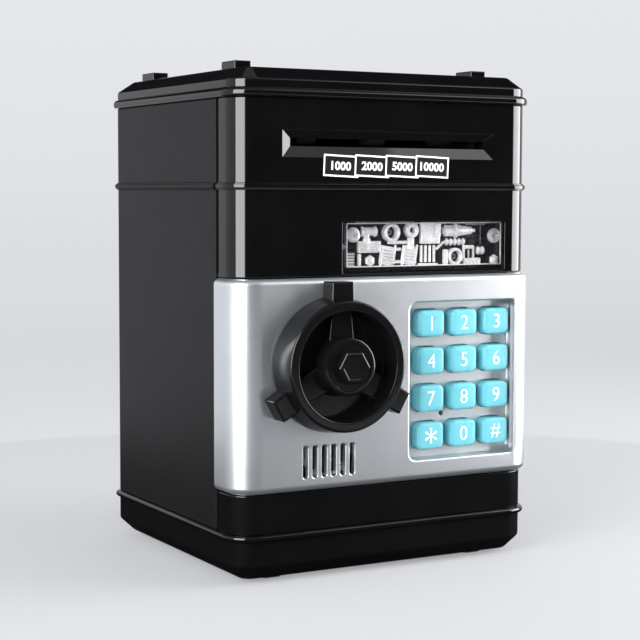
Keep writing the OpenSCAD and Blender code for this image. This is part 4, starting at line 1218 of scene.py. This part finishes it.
    def end_walls(self, skin: Skin) -> None:
        """Top and bottom walls that close the door box, set just inside the rounded edges."""
        plan = WrapPlan(self.half_width - self.edge + 0.5, self.face + self.edge - 0.5,
                        self.corner - self.edge, self.cover_y, self.cover_y, 0.2, 16)
        outline = plan.path(np.zeros(1))[0]
        flat = np.column_stack([outline, np.zeros(len(outline))])
        for bottom, top in ((self.bottom + 0.03, self.bottom + 2), (self.top - 2, self.top - 0.03)):
            skin.patch(Face.TOP, top, outline, [])
            skin.patch(Face.TOP, bottom, outline, [])
            skin.grid(np.stack([flat + (0, 0, bottom), flat + (0, 0, top)]), closed=True)


@dataclass
class Keypad:
    """Twelve soft-edged keys with raised white characters."""

    size: tuple[float, float] = (11.7, 10.2)
    radius: float = 2.3
    soft: float = 1.15
    dome: float = 0.16
    character: float = 5.6
    fall: float = 1.44
    mark_shift: tuple[float, float] = (-0.2, 0.1)
    marks: dict[str, str] = field(default_factory=lambda: {"key_star": "*", "key_hash": "#"})

    def dome_drop(self, across: Array, up: Array) -> Array:
        """How far the crowned front has fallen away at a point: grows with the square of the distance."""
        return self.dome * ((2 * across / self.size[0]) ** 2 + (2 * up / self.size[1]) ** 2) / 2 * self.fall

    def key(self, name: str) -> None:
        """One key: a flange, straight sides, a large rounding and a crowned front of shrinking rings."""
        low, high = node_box(name)
        at = ((low[0] + high[0]) / 2, (low[2] + high[2]) / 2)
        front, back = low[1], high[1]
        depth = back - front
        base = Ring(at, self.size, self.radius, -depth)
        collar = 0.8
        rings = [base.moved(-depth, 0.8), base.moved(-depth + collar, 0.8), base.moved(-depth + collar)]
        rings += [base.moved(drop - self.dome, grow) for grow, drop in crown(self.soft, 7)]
        skin = Skin()
        skin.rings(Face.FRONT, front, rings)
        skin.patch(Face.FRONT, front, rings[0].loop(), [], -depth)
        edge = rings[-1].loop()
        scale = np.linspace(1, 0, 7)[:, None, None]
        centre = np.array([*at, 0.0])
        fan = centre + (edge - centre) * scale
        local = fan - centre
        fan[..., 2] = -self.dome_drop(local[..., 0], local[..., 1])
        fan[0, :, 2] = edge[:, 2]
        skin.grid(Face.FRONT.place(fan, front), closed=True)
        skin.finish(name.replace("key_", "keycap_"), TEAL, name, (name,), "teal_key", 50)

        mark = self.marks.get(name, name.removeprefix("key_"))
        size = self.character * (1.15 if mark == "*" else 1.0)
        points, faces = lettering(f"mark_{mark}", mark, size, 0.1, 0.98, 0.0 if mark == "*" else -0.05)
        if mark == "*":
            points[:, :2] *= 1.5
        points[:, 2] -= self.dome_drop(points[:, 0], points[:, 1])
        points[:, :2] += np.array(at) + np.array(self.mark_shift)
        label = name.replace("key_", "numeral_")
        mesh = bpy.data.meshes.new(label)
        mesh.from_pydata((Face.FRONT.place(points, front) * MM).tolist(), [], faces)
        Skin.dress(mesh, label, NUMERAL_WHITE, name, (), "white_print")

    def build(self) -> None:
        """Builds every key that the frame has."""
        for name in sorted(frame["nodes"]):
            if name.startswith("key_") and name != "key_dome_mat":
                self.key(name)


@dataclass
class KnobUnit:
    """The latch knob: a deep rim, three spokes that end in square lugs, a hub and a hexagon cap."""

    rim: float = 24.0
    rim_inner: float = 20.3
    hub: float = 10.5
    back_rim: float = 25.2
    sunk: float = 5.2
    spoke: tuple[float, float] = (11.2, 8.0)
    lug: tuple[float, float] = (9.6, 8.8)
    lug_reach: float = 30.6
    angles: tuple[float, ...] = (90.0, 210.0, 330.0)

    def __post_init__(self) -> None:
        """Reads the knob's axis and depths from the frame."""
        low, high = node_box("knob_cap")
        self.at = ((low[0] + high[0]) / 2, (low[2] + high[2]) / 2)
        self.cap_front, self.cap_back = low[1], high[1]
        knob_low, knob_high = node_box("knob")
        self.hub_front, self.back = knob_low[1], knob_high[1]
        self.rim_front = self.hub_front + 1.0
        self.cap_radius = (high[0] - low[0]) / 2

    def body(self) -> None:
        """Turned dish, then the spokes and lugs as rounded bars set round the axis."""
        x, z = self.at
        depth = self.back - self.rim_front
        pocket = depth - 2.2
        profile = [(0, 0), (0, self.back_rim - 0.8), (-0.3, self.back_rim - 0.2), (-0.8, self.back_rim)]
        for angle in np.linspace(0, math.pi / 2, 5):
            profile.append((-depth + 1.0 - math.sin(angle), self.rim - 1.0 + math.cos(angle)))
        for angle in np.linspace(0, math.pi / 2, 4):
            profile.append((-depth + 0.45 * (1 - math.cos(angle)),
                            self.rim_inner + 0.45 * (1 - math.sin(angle))))
        profile += [(-depth + pocket - 0.8, self.rim_inner - 0.3), (-depth + pocket, self.rim_inner - 1.1),
                    (-depth + pocket, self.hub + 1.0), (-depth + pocket - 0.8, self.hub + 0.25),
                    (-depth - 0.3, self.hub + 0.05), (-depth - 0.75, self.hub - 0.15),
                    (-depth - 1.0, self.hub - 0.6), (-depth - 1.0, self.hub - 1.6),
                    (-depth - 0.75, self.hub - 1.9), (-depth - 0.75, 0)]
        skin = Skin()
        skin.turned("Y", (x, self.back, z), profile, 96)
        for degrees in self.angles:
            self.bar(skin, math.radians(degrees), (6.0, self.rim_inner + 2.2), self.spoke,
                     -self.sunk, depth - self.sunk - 0.6, 0.7)
            self.bar(skin, math.radians(degrees), (self.rim - 2.6, self.lug_reach), self.lug,
                     -self.sunk + 1.1, 7.2, 0.7)
        skin.finish("knob_body", KNOB_BLACK, "knob", ("knob",), "knob_black")

    def bar(self, skin: Skin, angle: float, reach: tuple[float, float], widths: tuple[float, float],
            top: float, depth: float, soft: float) -> None:
        """A bar that points out from the axis: a round-cornered outline whose width changes along it.

        Args:
            skin: where it goes.
            angle: direction from the axis, anticlockwise seen from the front.
            reach: distances from the axis where it starts and ends.
            widths: width at the start and at the end.
            top: its front, counted out from the rim's front.
            depth: how deep it goes behind its front.
            soft: radius of its front edges.
        """
        length = reach[1] - reach[0]
        rings = post(Ring((0, 0), (length, 1.0), 0.45, top - depth), depth, soft)
        loops = np.stack([ring.loop() for ring in rings])
        grow = np.array([ring.grow for ring in rings])[:, None]
        share = loops[..., 0] / length + 0.5
        width = widths[0] + (widths[1] - widths[0]) * np.clip(share, 0, 1)
        plain = np.stack([Ring((0, 0), (length, 1.0), 0.45).loop()[:, 1]] * len(rings))
        side = np.sign(plain) * (width / 2 - 0.5) + plain + np.sign(plain) * grow
        along = loops[..., 0] + (reach[0] + reach[1]) / 2
        turned = np.stack([along * math.cos(angle) - side * math.sin(angle) + self.at[0],
                           along * math.sin(angle) + side * math.cos(angle) + self.at[1], loops[..., 2]], -1)
        skin.grid(Face.FRONT.place(turned, self.rim_front), closed=True)
        for end in (0, -1):
            skin.patch(Face.FRONT, self.rim_front, turned[end], [], turned[end, 0, 2])

    def cap(self) -> None:
        """Hexagon cap: a six-sided post with a chamfered front edge and a shallow dished centre."""
        x, z = self.at
        length = self.cap_back - self.cap_front
        radius = self.cap_radius
        skin = Skin()
        skin.turned("Y", (x, self.cap_back, z), [(0, 0), (0, radius), (-length + 0.5, radius),
                                                 (-length + 0.15, radius - 0.3), (-length, radius - 0.65),
                                                 (-length, radius - 1.5), (-length + 0.25, radius - 1.9),
                                                 (-length + 0.25, 0)], 6)
        quarter = Matrix.Rotation(math.radians(30), 3, "Y")
        axis = np.array([x, 0, z])
        skin.points = [(points - axis) @ np.array(quarter) + axis for points in skin.points]
        skin.finish("knob_hex_cap", KNOB_BLACK, "knob", ("knob_cap",), "knob_black", 25)

    def build(self) -> None:
        """Builds the knob and its cap."""
        self.body()
        self.cap()


def dress_frame() -> None:
    """Gives every CAD node that stays the finish of its own material slot."""
    for part in frame["record"]["subparts"]:
        node = frame["nodes"][part["node"]]
        finish = SLOT_FINISHES[part["material_slot"]]
        for place in node.material_slots:
            place.material = finish.material()
        log.info("%s: dressed as %s", part["node"], finish.name)


# ---------------------------------------------------------------- studio


@dataclass(frozen=True)
class Softbox:
    """A rectangular area light aimed at the object."""

    name: str
    azimuth: float
    elevation: float
    distance: float
    size: tuple[float, float]
    power: float
    tint: tuple[float, float, float] = (1.0, 1.0, 1.0)
    aim: float = 0.1
    mirrored: bool = True

    def build(self) -> None:
        """Hangs the light at its bearing, counted from the front towards +X, facing the object's middle."""
        bearing, rise = math.radians(self.azimuth), math.radians(self.elevation)
        away = Matrix.Rotation(bearing, 3, "Z") @ Matrix.Rotation(-rise, 3, "X")
        lamp = bpy.data.lights.new(self.name, "AREA")
        lamp.shape = "RECTANGLE"
        lamp.size, lamp.size_y = self.size
        lamp.energy = self.power
        lamp.color = self.tint
        light = bpy.data.objects.new(self.name, lamp)
        position = away @ Matrix.Identity(3).col[1] * -self.distance
        position.z += self.aim
        turn = away @ Matrix.Rotation(math.radians(90), 3, "X")
        light.matrix_world = Matrix.Translation(position) @ turn.to_4x4()
        light.visible_camera = False
        light.visible_glossy = self.mirrored
        bpy.context.scene.collection.objects.link(light)


@dataclass
class Studio:
    """Camera, softboxes, a pale seamless sweep and a dark card that only reflections see."""

    position: tuple[float, float, float] = (-0.3237, -0.5695, 0.1430)
    bearing: float = 29.33
    dip: float = 4.47
    roll: float = 0.17
    lens: float = 92.18
    softboxes: tuple[Softbox, ...] = (
        Softbox("left_strip", -66, 8, 1.1, (0.74, 1.3), 30),
        Softbox("right_box", 67, 4, 0.6, (0.46, 0.6), 8.7),
        Softbox("front_high", 53, 38, 1.2, (0.6, 0.5), 1.7),
        Softbox("overhead", 0, 80, 1.3, (1.6, 1.6), 8, mirrored=False),
        Softbox("rear_fill", 165, 35, 1.6, (1.4, 1.0), 4, mirrored=False),
    )

    def camera(self) -> None:
        """Sets the scene's camera."""
        data = bpy.data.cameras.new("camera")
        data.lens = self.lens
        data.sensor_width = 36.0
        data.clip_start = 0.01
        eye = bpy.data.objects.new("camera", data)
        turn = (Matrix.Rotation(math.radians(-self.bearing), 3, "Z")
                @ Matrix.Rotation(math.radians(90 - self.dip), 3, "X")
                @ Matrix.Rotation(math.radians(self.roll), 3, "Z"))
        eye.matrix_world = Matrix.Translation(self.position) @ turn.to_4x4()
        bpy.context.scene.collection.objects.link(eye)
        bpy.context.scene.camera = eye

    def sweep(self) -> None:
        """Seamless floor and wall: a flat run, a quarter circle and an upright, all round a large disc."""
        flat, bend, tall = 1.6, 1.8, 2.6
        angle = np.linspace(0, np.pi / 2, 24)
        radius = np.concatenate([[0.0, 0.3, 0.6, flat], flat + bend * np.sin(angle[1:]), [flat + bend]])
        height = np.concatenate([[0.0] * 4, bend * (1 - np.cos(angle[1:])), [tall]])
        round_angle = np.linspace(0, 2 * np.pi, 96, endpoint=False)
        points = np.stack([radius[:, None] * np.cos(round_angle), radius[:, None] * np.sin(round_angle),
                           height[:, None] * np.ones_like(round_angle)], -1)
        rows, columns = points.shape[:2]
        index = np.arange(rows * columns).reshape(rows, columns)
        index = np.concatenate([index, index[:, :1]], axis=1)
        quads = np.stack([index[:-1, :-1], index[1:, :-1], index[1:, 1:], index[:-1, 1:]], -1).reshape(-1, 4)
        mesh = bpy.data.meshes.new("sweep")
        mesh.from_pydata(points.reshape(-1, 3).tolist(), [], quads.tolist())
        mesh.polygons.foreach_set("use_smooth", np.ones(len(mesh.polygons), bool))
        floor = bpy.data.objects.new("sweep", mesh)
        paper = PaperFinish("studio_paper", (0.28, 0.284, 0.294), 0.6, specular=0.2, mottle=0.004,
                            patch_mm=900.0, uneven=0.02, grain_mm=3.0, depth_mm=0.001, glow=1.15,
                            far_glow=2.15)
        mesh.materials.append(paper.material())
        bpy.context.scene.collection.objects.link(floor)

    def flag(self) -> None:
        """Dark velvet that only reflections see: screens at the front and high behind, and a disc below."""
        def screen(first: float, last: float, radius: float, low: float, high: float) -> Array:
            """Part of an upright cylinder between two bearings and two heights."""
            bearing = np.radians(np.linspace(first, last, 24))
            return np.stack([[radius * np.sin(bearing), -radius * np.cos(bearing), np.full(24, z)]
                             for z in (low, high)])

        turn = np.linspace(0, 2 * np.pi, 48, endpoint=False)
        disc = np.stack([[r * np.cos(turn), r * np.sin(turn), np.full(48, 0.0006)] for r in (0.001, 0.33)])
        velvet = Finish("dark_velvet", (0.004, 0.004, 0.004), 0.9, specular=0.1, mottle=0.2, grain_mm=2.0)
        for name, points, closed in (("dark_screen", screen(-44, 43, 0.6, 0.0, 0.44), False),
                                     ("dark_canopy", screen(108, 215, 0.8, 0.42, 1.9), False),
                                     ("dark_disc", disc, True)):
            skin = Skin()
            skin.grid(points.transpose(0, 2, 1) / MM, closed)
            mesh = bpy.data.meshes.new(name)
            faces = [row for block in skin.faces for row in block.tolist()]
            mesh.from_pydata((np.concatenate(skin.points) * MM).tolist(), [], faces)
            mesh.materials.append(velvet.material())
            card = bpy.data.objects.new(name, mesh)
            card.visible_camera = card.visible_diffuse = card.visible_shadow = False
            card.visible_transmission = False
            bpy.context.scene.collection.objects.link(card)

    def build(self) -> None:
        """Sets up the world, the lights, the sweep and the card."""
        bpy.context.scene.view_settings.view_transform = "Standard"
        world = bpy.data.worlds.new("studio")
        world.use_nodes = True
        backdrop = world.node_tree.nodes["Background"]
        backdrop.inputs["Color"].default_value = (0.78, 0.79, 0.82, 1.0)
        backdrop.inputs["Strength"].default_value = 0.35
        bpy.context.scene.world = world
        for softbox in self.softboxes:
            softbox.build()
            log.info("softbox %s at %g degrees", softbox.name, softbox.azimuth)
        self.sweep()
        self.flag()


def main() -> None:
    """Builds the camera and studio, then every sub-assembly in turn."""
    logging.basicConfig(level=logging.INFO, format="%(message)s")
    studio = Studio()
    studio.camera()
    studio.build()
    dress_frame()
    for assembly in (CaseShells(), Lid(), Base(), Window(), NoteTags(), Door(), Keypad(), KnobUnit()):
        assembly.build()
        log.info("%s finished", type(assembly).__name__)


if __name__ == "__main__":
    main()
